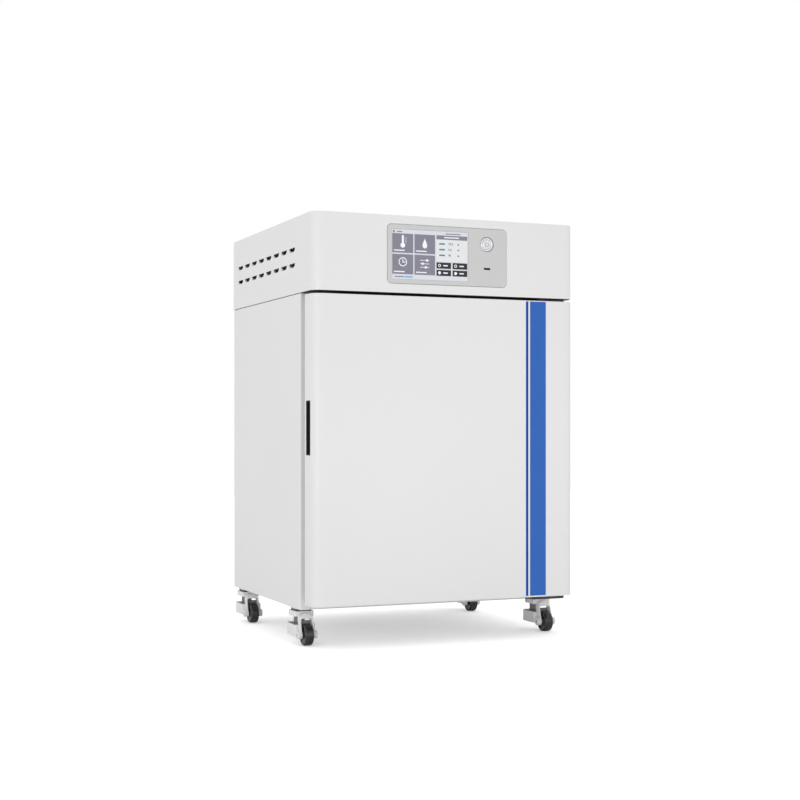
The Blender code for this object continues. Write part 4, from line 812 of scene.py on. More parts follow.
@dataclass(frozen=True)
class LitDisplay(Finish):
    """Display under glass: the colour glows a little, in fine rows of pixels, below a glossy front.

    Args:
        glow: strength of the light that it gives.
        pixel_mm: pitch of the pixel rows, drawn coarser than real.
        row_shade: the colour between the rows.
        row_share: how far the base colour goes towards it.
        gloss: the glass's reflection, low because of its coating.
    """

    glow: float = 0.03
    pixel_mm: float = 0.6
    row_shade: str = "#808894"
    row_share: float = 0.12
    gloss: float = 0.2

    def dress(self, shading: Shading) -> Pattern:
        """Bands of rows darken the base colour slightly; the glow stays even.

        Args:
            shading: the material's nodes.

        Returns:
            What they do to the surface.
        """
        rows = add_node(
            shading.tree, "ShaderNodeTexWave",
            {"bands_direction": "Z", "Scale": WAVE_PERIOD / (self.pixel_mm * MM)},
            {"Vector": shading.place},
        )
        fade = add_node(
            shading.tree, "ShaderNodeMapRange", {"To Max": self.row_share}, {"Value": rows.outputs["Fac"]},
        )
        shading.even({
            "Emission Color": linear(self.colour), "Emission Strength": self.glow,
            "Specular IOR Level": self.gloss,
        })
        return Pattern(fade.outputs["Result"], self.row_shade)


@dataclass(frozen=True)
class VinylFilm(Finish):
    """Cast vinyl film: a smooth satin colour with a fine calendered texture.

    Args:
        shade: the colour that its tone drifts towards.
        tone_mm: width of a patch of tone.
        skin_mm: width of the film's texture, 1200 to the metre.
        skin_strength: how much of it shows.
        skin_depth_mm: its depth.
        gloss: its reflection, low because the film is matt.
    """

    shade: str = "#3A62AC"
    tone_mm: float = 40.0
    skin_mm: float = 5 / 6
    skin_strength: float = 0.15
    skin_depth_mm: float = 0.01
    gloss: float = 0.1

    def dress(self, shading: Shading) -> Pattern:
        """Fine noise for the film's skin, slow noise for its tone.

        Args:
            shading: the material's nodes.

        Returns:
            What they do to the surface.
        """
        noise, place = "ShaderNodeTexNoise", {"Vector": shading.place}
        tone = add_node(shading.tree, noise, {"Scale": per_metre(self.tone_mm), "Detail": 2.0}, place)
        skin = add_node(shading.tree, noise, {"Scale": per_metre(self.skin_mm)}, place)
        shading.even({"Specular IOR Level": self.gloss})
        return Pattern(
            tone.outputs["Fac"], self.shade, skin.outputs["Fac"], self.skin_strength, self.skin_depth_mm,
        )


WHITE_COAT = PowderCoat("powder_coated_steel_white", "white_paint", "#DEDEDE", 0.42, shade="#DADADA")
CASTER_COAT = PowderCoat("powder_coated_caster_grey", "grey_paint", "#E0E0E0", 0.45, shade="#DCDCDC")
# Dark grey: the neck's cast iron colour, also used on the web, and painted shade on the cap over the
# housing's top, which lies in shadow under the cabinet
CASTER_IRON_AND_SHADE = PowderCoat("cast_iron_grey_and_painted_shade", "grey_paint", "#808082", 0.5, shade="#78787A")
# Dark grey coat: the hinge brackets' own paint, and painted shade on the caster races and the cover deck,
# where the gaps under the casters' plates and between cover and door lie in shadow
DARK_COAT_AND_SHADE = PowderCoat("powder_coated_steel_dark", "dark_paint", "#3A3A3C", 0.5, shade="#333335")
# Front frame: grey ABS darkened past its own colour as painted shade for the recess between door and cabinet
FRAME_ABS_SHADED = MouldedPlastic("moulded_abs_frame_grey", "grey_plastic", "#949494", 0.5, shade="#8E8E8E")
PANEL_ABS = MouldedPlastic("moulded_abs_panel_grey", "grey_plastic", "#C4C4C4", 0.45, shade="#C0C0C0")
LINER_ABS = MouldedPlastic("thermoformed_abs_white", "white_plastic", "#E2E4E4", 0.4, shade="#DCDEDE")
BLACK_ABS = MouldedPlastic("moulded_abs_black", "black_plastic", "#161617", 0.5, shade="#0E0E0E")
CHAMBER_STEEL = BrushedSteel("electropolished_stainless_steel", "stainless_steel", "#CBCDCF", 0.25)
SHELF_STEEL = BrushedSteel("rolled_stainless_sheet", "stainless_steel", "#C6C8CA", 0.3, along=Axis.X)
ZINC = PlatedMetal("zinc_plated_steel", "zinc_plated_steel", "#C2C5C8", 0.35, 1.0)
NICKEL = PlatedMetal("nickel_plated_brass", "nickel_plated_brass", "#CDC6B2", 0.3, 1.0, shade="#B8AF98")
BUTTON_METAL = BrushedSteel(
    "satin_chromed_cap", "satin_chrome", "#E2E2E4", 0.3, 0.6, shade="#D2D3D6", along=Axis.X,
)
SIGN_INK = VinylFilm("screen_printed_ink_grey", "grey_plastic", "#8C939E", 0.5, shade="#868D98")
# Door gasket: grey elastomer darkened past its own colour as painted shade for the recess between door and
# cabinet
GASKET_RUBBER_SHADED = SoftRubber("gasket_elastomer_grey", "dark_rubber", "#6A6A6B", 0.7, bloom="#727273")
SEAL_SILICONE = SoftRubber("silicone_seal", "silicone", "#D9DBDB", 0.55, bloom="#E2E4E4")
WHEEL_NYLON = MouldedPlastic(
    "cast_nylon_wheel_black", "wheel_polymer", "#28282A", 0.2,
    shade="#222224", grain_mm=0.3, grain_depth_mm=0.004,
)
PANE = ClearGlass("toughened_glass", "clear_glass", "#F2FAF8", 0.02)
BLUE_WIDE = VinylFilm("vinyl_film_blue", "blue_film", "#3565B3", 0.5, shade="#3262B0")
BLUE_NARROW = VinylFilm("vinyl_film_deep_blue", "blue_film", "#0047A5", 0.5, shade="#0044A1")
FOAM = MouldedPlastic("polyurethane_foam", "foam", "#E0D6A8", 0.9, shade="#CFC48F", grain_mm=2.0)
BOARD = MouldedPlastic("solder_mask_green", "circuit_board", "#1E6B3C", 0.4, shade="#185A32")
SCREEN_GROUND = LitDisplay("display_ground", "screen_glass", "#D5D8DD")
SCREEN_TILE = LitDisplay("display_tile", "screen_glass", "#817F8D")
SCREEN_DARK = LitDisplay("display_dark", "screen_glass", "#272729")
SCREEN_PAGE = LitDisplay("display_page", "screen_glass", "#E0E0E1")
SCREEN_LIGHT = LitDisplay("display_light", "screen_glass", "#EFEFF1")
SCREEN_INK = LitDisplay("display_ink", "screen_glass", "#4E7C86")
SCREEN_BLUE = LitDisplay("display_blue", "screen_glass", "#6FA3DC")


# Putting pieces into the scene


def mesh_object(name: str, surface: Surface) -> bpy.types.Object:
    """Object of a surface, its faces turned outwards.

    Args:
        name: the object's name.
        surface: its mesh.

    Returns:
        The new object, linked to the scene.
    """
    mesh = bpy.data.meshes.new(name)
    mesh.from_pydata(surface.points.tolist(), [], surface.faces)
    shape = bmesh.new()
    shape.from_mesh(mesh)
    bmesh.ops.remove_doubles(shape, verts=shape.verts[:], dist=WELD)
    bmesh.ops.recalc_face_normals(shape, faces=shape.faces[:])
    shape.to_mesh(mesh)
    shape.free()
    made = bpy.data.objects.new(name, mesh)
    bpy.context.scene.collection.objects.link(made)
    return made


class Cut(Enum):
    """What a Boolean leaves of a piece: what is outside the cutter, or what is within it."""

    AWAY = "DIFFERENCE"
    WITHIN = "INTERSECT"


def carved(target: bpy.types.Object, cutters: Sequence[Surface], cut: Cut = Cut.AWAY) -> None:
    """Applies exact Booleans to an object.

    Args:
        target: the object that is changed.
        cutters: closed surfaces, taken in turn.
        cut: what each leaves of the object.
    """
    tools = [mesh_object(f"cutter_{index}", surface) for index, surface in enumerate(cutters)]
    for tool in tools:
        modifier = target.modifiers.new("cut", "BOOLEAN")
        modifier.operation = cut.value
        modifier.solver = "EXACT"
        modifier.object = tool
    depsgraph = bpy.context.evaluated_depsgraph_get()
    result = bpy.data.meshes.new_from_object(target.evaluated_get(depsgraph))
    target.modifiers.clear()
    old = target.data
    target.data = result
    bpy.data.meshes.remove(old)
    for tool in tools:
        mesh = tool.data
        bpy.data.objects.remove(tool)
        bpy.data.meshes.remove(mesh)


def dressed(
    piece: bpy.types.Object, finish: Finish, body: str, stands_for: Sequence[str] = (),
    sharp: float = SHARP,
) -> bpy.types.Object:
    """Gives a piece its finish and shading and ties it to its body.

    Args:
        piece: the object.
        finish: its finish.
        body: the body that it moves with.
        stands_for: nodes of the frame that it replaces.
        sharp: angle in degrees past which an edge stays sharp.

    Returns:
        The same object.
    """
    piece.data.materials.clear()
    piece.data.materials.append(finish.material())
    piece.data.shade_smooth()
    piece.data.set_sharp_from_angle(angle=math.radians(sharp))
    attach(piece, body)
    if stands_for:
        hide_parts(*stands_for)
    LOG.info("%s: %d faces on %s", piece.name, len(piece.data.polygons), body)
    return piece


def add_piece(
    name: str, surface: Surface, finish: Finish, body: str, stands_for: Sequence[str] = (),
    cutters: Sequence[Surface] = (), sharp: float = SHARP,
) -> bpy.types.Object:
    """Makes, cuts and dresses one piece.

    Args:
        name: the piece's name.
        surface: its closed surface.
        finish: its finish.
        body: the body that it moves with.
        stands_for: nodes that it replaces.
        cutters: surfaces that are cut from it.
        sharp: angle in degrees past which an edge stays sharp.

    Returns:
        The piece.
    """
    made = mesh_object(name, surface)
    if cutters:
        carved(made, cutters)
    return dressed(made, finish, body, stands_for, sharp)


# Sub-assemblies


@dataclass(frozen=True)
class Louvre:
    """Where one louvre is pressed.

    Args:
        side: the side of the hood.
        start: its front end along y.
        top: level of its straight top edge.
    """

    side: Side
    start: float
    top: float


@dataclass
class Cover:
    """Sheet hood over the electronics, with pressed louvres on both sides."""

    box: Box = field(default_factory=lambda: Box.of("top_cover"))
    corner: float = 0.022
    rear_corner: float = 0.0022
    edge: float = 0.0016
    sheet: float = 0.0015
    seam: float = 0.0008
    overcut: float = 0.004
    # The panel's window: how far the bezel laps it, the joint round the bezel, its bevel and its corners
    window_lap: float = 0.004
    window_gap: float = 0.0004
    window_bevel: float = 0.0011
    window_corner: float = 0.0099
    # Openings in the rear wall
    inlet_inset: Span = (0.0097, 0.0012)
    barb_radius: float = 0.0048
    # Louvres
    louvres: int = 8
    louvre_length: float = 0.039
    louvre_height: float = 0.0085
    louvre_depth: float = 0.007
    louvre_pitch: float = 0.0532
    louvre_first: float = 0.107
    louvre_rows: Span = (0.0642, 0.0962)
    mouth_points: int = 19
    # Scoops: their reach along the mouth, points along and up, curve inwards, rise, and the lip's set-backs
    scoop_reach: Span = (0.012, 0.988)
    scoop_points: tuple[int, int] = (25, 9)
    scoop_curve: float = 1.4
    scoop_rise: float = 0.08
    scoop_front: float = 0.0002
    scoop_lip: float = 0.0009

    def plan(self) -> Outline:
        """Outline of the hood from above."""
        radii = (self.corner, self.corner, self.rear_corner, self.rear_corner)
        return Outline.rectangle(self.box.span(0), self.box.span(1), radii, steps=20)

    def drop(self, share: Array) -> Array:
        """Height of a louvre's mouth along it: h times (1 - |2s - 1|^4)^0.5, a flat arch upside down."""
        return self.louvre_height * np.sqrt(np.clip(1 - np.abs(2 * share - 1) ** 4, 0, 1))

    def louvre_places(self) -> list[Louvre]:
        """Places of the louvres, side by side and row by row.

        Returns:
            One place for each louvre.
        """
        front, low = float(self.box.low[1]), float(self.box.low[2])
        return [
            Louvre(side, front + self.louvre_first + index * self.louvre_pitch, low + row)
            for side in Side for row in self.louvre_rows for index in range(self.louvres)
        ]

    def mouth(self, louvre: Louvre) -> Surface:
        """Cutter of one mouth: the arch below the straight top edge, through the sheet.

        Args:
            louvre: its place.

        Returns:
            The cutter.
        """
        share = np.linspace(0, 1, self.mouth_points)
        along = louvre.start + share * self.louvre_length
        lower = louvre.top - self.drop(share)
        loop_y = np.concatenate([along, along[1:-1][::-1]])
        loop_z = np.concatenate([lower, np.full(len(along) - 2, louvre.top)])
        wall = self.box.wall(louvre.side)
        x = np.array([wall - self.overcut, wall + self.overcut])[:, None]
        return grid_surface(np.stack(np.broadcast_arrays(x, loop_y, loop_z), axis=-1))

    def scoop(self, louvre: Louvre) -> Surface:
        """One pressed hood as a closed shell.

        Over u along the louvre and v up it, the outer face lies at inward = d(u) v^p and level =
        top - h(u) (1 - k v), where h is the mouth's height, d its share of the full depth, p the curve and k
        the share of the height that the hood rises; the inner face is the same surface set back by the sheet.

        Args:
            louvre: its place.

        Returns:
            The shell.
        """
        u = np.linspace(*self.scoop_reach, self.scoop_points[0])[None, :]
        v = np.linspace(0, 1, self.scoop_points[1])[:, None]
        height = self.drop(u)
        depth = self.louvre_depth * height / self.louvre_height
        wall = self.box.wall(louvre.side)

        def face(back: float, below: float) -> Array:
            """The hood's face.

            Args:
                back: how far it is set back.
                below: how far it is set down.

            Returns:
                Its grid of points.
            """
            inward = depth * v**self.scoop_curve + back
            level = louvre.top - height * (1 - self.scoop_rise * v) - below
            along = np.broadcast_to(louvre.start + u * self.louvre_length, inward.shape)
            return np.stack([wall - louvre.side.value * inward, along, level], axis=-1)

        front = face(self.scoop_front, 0.0)
        back = face(self.sheet, self.scoop_lip)
        return open_ring(np.concatenate([front, back[::-1]]))

    def window(self) -> Surface:
        """Cutter of the panel's window, whose outline widens towards the front as a bevel.

        Returns:
            The cutter.
        """
        panel = Box.of("panel_bezel")
        lap = self.window_lap - self.window_gap
        front = float(self.box.low[1])
        plan = Outline.rectangle(panel.span(0, lap), panel.span(2, lap), self.window_corner, steps=10)
        profile = np.array([
            (-self.window_bevel, front - self.overcut), (-self.window_bevel, front),
            (0.0, front + self.window_bevel), (0.0, front + self.overcut),
        ])
        return grid_surface(carried(plan, profile, Axis.Y))

    def rear_holes(self) -> Surface:
        """Cutters of the openings for the mains inlet and the hose barb.

        Returns:
            Both cutters as one.
        """
        rear = float(self.box.high[1])
        through = (rear - self.overcut, rear + self.overcut)
        inlet = Box.of("power_inlet")
        inlet_hole = block(inlet.span(0, self.inlet_inset[0]), through, inlet.span(2, self.inlet_inset[1]))
        barb = Box.of("gas_inlet")
        barb_hole = revolved(
            [(self.barb_radius, level) for level in through], (barb.middle[0], barb.middle[2]),
            Axis.Y, steps=24,
        )
        return gathered([inlet_hole, barb_hole])

    def build(self) -> None:
        """Makes the hood and its scoops."""
        outer_profile = edge_profile(self.box.low[2] + self.seam, self.box.high[2], 0, self.edge)
        outer = grid_surface(carried(self.plan(), outer_profile, Axis.Z))
        inner_profile = np.array([
            (self.sheet, self.box.low[2] - self.overcut), (self.sheet, self.box.high[2] - self.sheet),
        ])
        inner = grid_surface(carried(self.plan(), inner_profile, Axis.Z))
        mouths = gathered(self.mouth(louvre) for louvre in self.louvre_places())
        add_piece(
            "cover_hood", outer, WHITE_COAT, "cabinet", ["top_cover"],
            [inner, self.window(), self.rear_holes(), mouths], sharp=40,
        )
        scoops = gathered(self.scoop(louvre) for louvre in self.louvre_places())
        add_piece("cover_louvre_scoops", scoops, WHITE_COAT, "cabinet", sharp=50)


@dataclass
class Door:
    """Outer door: folded shell, finger pull, stripes and gasket."""

    box: Box = field(default_factory=lambda: Box.of("door_shell"))
    cup: Box = field(default_factory=lambda: Box.of("handle_cup"))
    corner: float = 0.022
    rear_corner: float = 0.0012
    edge: float = 0.0012
    sheet: float = 0.0015
    overcut: float = 0.004
    # Finger pull: play in its window, wall, corners, and how far the door's curve is carried past it
    pull_play: float = 0.0003
    pull_wall: float = 0.0015
    pull_corner: float = 0.004
    pull_past: float = 0.01
    # Stripes: half the film's thickness, and how far they run up past their nodes, and half as far down
    film: float = 0.00025
    stripe_reach: float = 0.0022
    # Gasket: width, rounding, corner past its width, and its folds as (set in, depth) on either side
    gasket_width: float = 0.017
    gasket_round: float = 0.0014
    gasket_corner: float = 0.002
    outer_folds: tuple[Span, ...] = ((0.0, 0.0), (0.0012, 0.004), (0.0006, 0.0065), (0.0, 0.008))
    inner_folds: tuple[Span, ...] = ((0.0, 0.008), (0.002, 0.0045), (0.0, 0.0))

    def plan(self) -> Outline:
        """Outline of the door from above."""
        radii = (self.corner, self.corner, self.rear_corner, self.rear_corner)
        return Outline.rectangle(self.box.span(0), self.box.span(1), radii, steps=20)

    def shell(self) -> None:
        """The folded pan, open behind, with the window for the finger pull."""
        outer = rounded_solid(self.plan(), *self.box.span(2), Axis.Z, self.edge, self.edge)
        bend = self.corner - self.sheet
        plan = Outline.rectangle(
            self.box.span(0, self.sheet), (self.box.low[1] + self.sheet, self.box.high[1] + self.overcut),
            (bend, bend, 0, 0), steps=20,
        )
        inner = rounded_solid(plan, *self.box.span(2, self.sheet), Axis.Z)
        window = block(
            (self.cup.low[0] - self.overcut, self.cup.high[0]), self.cup.span(1, -self.pull_play),
            self.cup.span(2, -self.pull_play),
        )
        add_piece("door_skin", outer, WHITE_COAT, "door", ["door_shell"], [inner, window], sharp=40)

    def pull(self) -> None:
        """Finger pull: a cup with a rolled rim, cut to the curve of the door's edge."""
        box = self.cup
        outer = block(box.span(0), box.span(1), box.span(2))
        plan = Outline.rectangle(box.span(1, self.pull_wall), box.span(2, self.pull_wall), self.pull_corner)
        hollow = rounded_solid(
            plan, box.low[0] - self.overcut, box.high[0] - self.pull_wall, Axis.X, 0, self.pull_corner,
        )
        curve = rounded_solid(self.plan(), *box.span(2, -self.pull_past), Axis.Z)
        made = mesh_object("door_finger_pull", outer)
        carved(made, [hollow])
        carved(made, [curve], Cut.WITHIN)
        dressed(made, BLACK_ABS, "door", ["handle_cup"])

    def stripes(self) -> None:
        """Two vinyl films on the door's face."""
        front = self.box.low[1]
        for node, finish in (("door_stripe_narrow", BLUE_NARROW), ("door_stripe_wide", BLUE_WIDE)):
            box = Box.of(node)
            low = box.low[2] - self.stripe_reach / 2
            high = min(box.high[2] + self.stripe_reach, self.box.high[2] - self.edge)
            strip = block(box.span(0), (front - self.film, front + self.film), (low, high))
            add_piece(f"{node}_film", strip, finish, "door", [node])

    def gasket(self) -> None:
        """Magnetic gasket: its section, a bead before a hollow fold, is carried round the door."""
        box = Box.of("door_gasket")
        near, far = box.span(1)
        width = self.gasket_width
        corners = [(inset, near + depth) for inset, depth in self.outer_folds] + [(0.0, far), (width, far)]
        corners += [(width - inset, near + depth) for inset, depth in self.inner_folds]
        section = rounded_profile(corners, self.gasket_round, steps=3, closed=True)
        outline = Outline.rectangle(box.span(0), box.span(2), width + self.gasket_corner, steps=10)
        loop = grid_surface(carried(outline, section, Axis.Y), ring=True)
        add_piece("door_gasket_profile", loop, GASKET_RUBBER_SHADED, "door", ["door_gasket"], sharp=50)

    def build(self) -> None:
        """Makes every piece of the door."""
        self.shell()
        self.pull()
        self.stripes()
        self.gasket()


@dataclass
class CabinetBody:
    """Side and top sheet of the cabinet, with folded edges."""

    box: Box = field(default_factory=lambda: Box.of("cabinet_shell"))
    bend: float = 0.0022
    top_edge: float = 0.001
    sheet: float = 0.0015
    flange: float = 0.020
    overcut: float = 0.004

    def build(self) -> None:
        """Makes the wrapped sheet."""
        outline = Outline.rectangle(self.box.span(0), self.box.span(1), self.bend, steps=6)
        outer = rounded_solid(outline, *self.box.span(2), Axis.Z, 0, self.top_edge)
        low = self.box.low[2] - self.overcut
        inside = block(
            self.box.span(0, self.sheet), (self.box.low[1] + self.sheet, self.box.high[1] + self.overcut),
            (low, self.box.high[2] - self.sheet),
        )
        window = block(
            self.box.span(0, self.flange), (self.box.low[1] - self.overcut, self.box.low[1] + self.overcut),
            (low, self.box.high[2] - self.flange),
        )
        add_piece("cabinet_wrap", outer, WHITE_COAT, "cabinet", ["cabinet_shell"], [inside, window], sharp=40)


@dataclass
class PanelRim:
    """Moulded bezel of the control panel, with its openings."""

    box: Box = field(default_factory=lambda: Box.of("panel_bezel"))
    screen: Box = field(default_factory=lambda: Box.of("touch_screen"))
    ring: Box = field(default_factory=lambda: Box.of("button_ring"))
    port: Box = field(default_factory=lambda: Box.of("usb_port"))
    lap: float = 0.004
    corner: float = 0.0095
    edge: float = 0.0014
    ledge: float = 0.003
    fit: float = 0.0003
    pocket_depth: float = 0.0045
    bed_play: float = 0.0001
    bed_depth: float = 0.0039
    bore: float = 0.0103
    overcut: float = 0.004

    def build(self) -> None:
        """Makes the rim with its openings for the screen, the button and the port."""
        front, back = self.box.span(1)
        before, behind = front - self.overcut, back + self.overcut
        outline = Outline.rectangle(
            self.box.span(0, self.lap), self.box.span(2, self.lap), self.corner, steps=10,
        )
        body = rounded_solid(outline, front, back, Axis.Y, self.edge, 0)
        pocket = block(
            self.screen.span(0, -self.fit), (before, front + self.pocket_depth),
            self.screen.span(2, -self.fit),
        )
        through = block(self.screen.span(0, self.ledge), (front, behind), self.screen.span(2, self.ledge))
        centre = (self.ring.middle[0], self.ring.middle[2])
        bed_radius = self.ring.size[0] / 2 + self.bed_play
        bed = cylinder(bed_radius, (before, front + self.bed_depth), centre, Axis.Y)
        bore = cylinder(self.bore, (front, behind), centre, Axis.Y)
        slot = block(self.port.span(0, -self.fit), (before, behind), self.port.span(2, -self.fit))
        add_piece(
            "panel_rim", body, PANEL_ABS, "cabinet", ["panel_bezel"],
            [pocket, through, bed, bore, slot], sharp=40,
        )


@dataclass
class PowerButton:
    """Domed ring and dished cap of the power button, with a plain sign.

    Radii are taken from the button's axis and depths from the front of the ring.
    """

    ring: Box = field(default_factory=lambda: Box.of("button_ring"))
    button: Box = field(default_factory=lambda: Box.of("power_button"))
    ring_bore: float = 0.01008
    ring_play: float = 0.0008
    # Ring: depth of its inner and outer edge, and how far its crest lies out from the middle
    ring_inner: float = 0.0014
    ring_outer: float = 0.0018
    ring_crest: float = 0.0004
    ring_rounds: tuple[float, ...] = (0, 0.0004, 0.0018, 0.0008, 0)
    # Cap: (radius, depth) of its dish, rim, side and stem, and the rounding at each corner
    cap_corners: tuple[Span, ...] = (
        (0, 0.0009), (0.0052, 0.0008), (0.0080, 0), (0.00995, 0.0014), (0.00995, 0.006), (0.003, 0.006),
    )
    cap_rounds: tuple[float, ...] = (0, 0.002, 0.0012, 0.0005, 0, 0, 0, 0)
    # Sign: an arc open at its top and a bar in the opening
    sign_radius: float = 0.0042
    sign_width: float = 0.0009
    sign_turn: Span = (125.0, 415.0)
    sign_points: int = 33
    sign_depth: float = 0.0006
    sign_thickness: float = 0.0003
    bar_depths: Span = (0.0005, 0.0009)
    bar_reach: Span = (0.25, 1.15)

    def sign(self, centre: Span, front: float) -> Surface:
        """The sign: an arc of the radius plus or minus half the width over the turn, and its bar.

        Args:
            centre: the button's axis, as x and z.
            front: the front of the ring.

        Returns:
            The sign's surface.
        """
        angles = np.linspace(*(math.radians(angle) for angle in self.sign_turn), self.sign_points)
        sides = np.array([(-1, 0), (1, 0), (1, 1), (-1, 1)])
        reach = self.sign_radius + sides[:, 0][:, None] * self.sign_width / 2
        x = centre[0] + reach * np.cos(angles)[None, :]
        z = centre[1] + reach * np.sin(angles)[None, :]
        y = np.broadcast_to(front + self.sign_depth + sides[:, 1][:, None] * self.sign_thickness, x.shape)
        bar = block(
            (centre[0] - self.sign_width / 2, centre[0] + self.sign_width / 2),
            [front + depth for depth in self.bar_depths],
            [centre[1] + self.sign_radius * share for share in self.bar_reach],
        )
        return open_ring(np.stack([x, y, z], axis=-1)) + bar

    def build(self) -> None:
        """Makes the ring, the cap and the sign."""
        centre = (self.ring.middle[0], self.ring.middle[2])
        front, back = self.ring.span(1)
        inner, outer = self.ring_bore, self.ring.size[0] / 2 - self.ring_play
        crest = (inner + outer) / 2 + self.ring_crest
        ring = rounded_profile(
            [(inner, back), (inner, front + self.ring_inner), (crest, front),
             (outer, front + self.ring_outer), (outer, back)],
            self.ring_rounds, closed=True,
        )
        ring_surface = revolved(ring, centre, Axis.Y, steps=64, ring=True)
        add_piece("power_button_ring", ring_surface, BUTTON_METAL, "cabinet", ["button_ring"])
        stem = self.cap_corners[-1][0]
        end = self.button.high[1]
        corners = [(radius, front + depth) for radius, depth in self.cap_corners] + [(stem, end), (0, end)]
        cap = revolved(rounded_profile(corners, self.cap_rounds), centre, Axis.Y, steps=64)
        add_piece("power_button_cap", cap, BUTTON_METAL, "power_button", ["power_button"])
        add_piece("power_button_sign", self.sign(centre, front), SIGN_INK, "power_button")


@dataclass(frozen=True)
class Bar:
    """Rectangle of a sign.

    Args:
        u: its range across, from the sign's middle, as shares of the display's width.
        v: its range down, from the sign's middle, as shares of the display's height.
        level: its layer over the glass.
    """

    u: Span
    v: Span
    level: int


@dataclass(frozen=True)
class Dot:
    """Disc or ring of a sign.

    Args:
        u: its middle across, as a Bar's.
        v: its middle down.
        radius: in metres.
        level: its layer over the glass.
        hole: radius of its hole in metres, or 0.
    """

    u: float
    v: float
    radius: float
    level: int
    hole: float = 0.0


class Icon(Enum):
    """Plain signs of the display, as the bars and dots that draw them; the drop is an outline of its own."""

    THERMOMETER = (
        Dot(0.0, 0.07, 0.0052, 2), Bar((-0.014, 0.014), (-0.11, 0.06), 3), Dot(0.0, -0.11, 0.0024, 2),
        Bar((0.03, 0.05), (-0.08, -0.07), 3), Bar((0.03, 0.05), (-0.04, -0.03), 3),
        Bar((0.03, 0.05), (0.0, 0.01), 3),
    )
    DROP = ()
    CLOCK = (
        Dot(0.0, 0.0, 0.0092, 2, hole=0.0074), Bar((-0.006, 0.006), (-0.055, 0.006), 3),
        Bar((-0.006, 0.036), (-0.004, 0.014), 4),
    )
    SLIDERS = (
        Bar((-0.06, 0.06), (-0.076, -0.064), 2), Dot(0.03, -0.07, 0.0026, 3),
        Bar((-0.06, 0.06), (-0.006, 0.006), 2), Dot(-0.03, 0.0, 0.0026, 3),
        Bar((-0.06, 0.06), (0.064, 0.076), 2), Dot(0.012, 0.07, 0.0026, 3),
    )


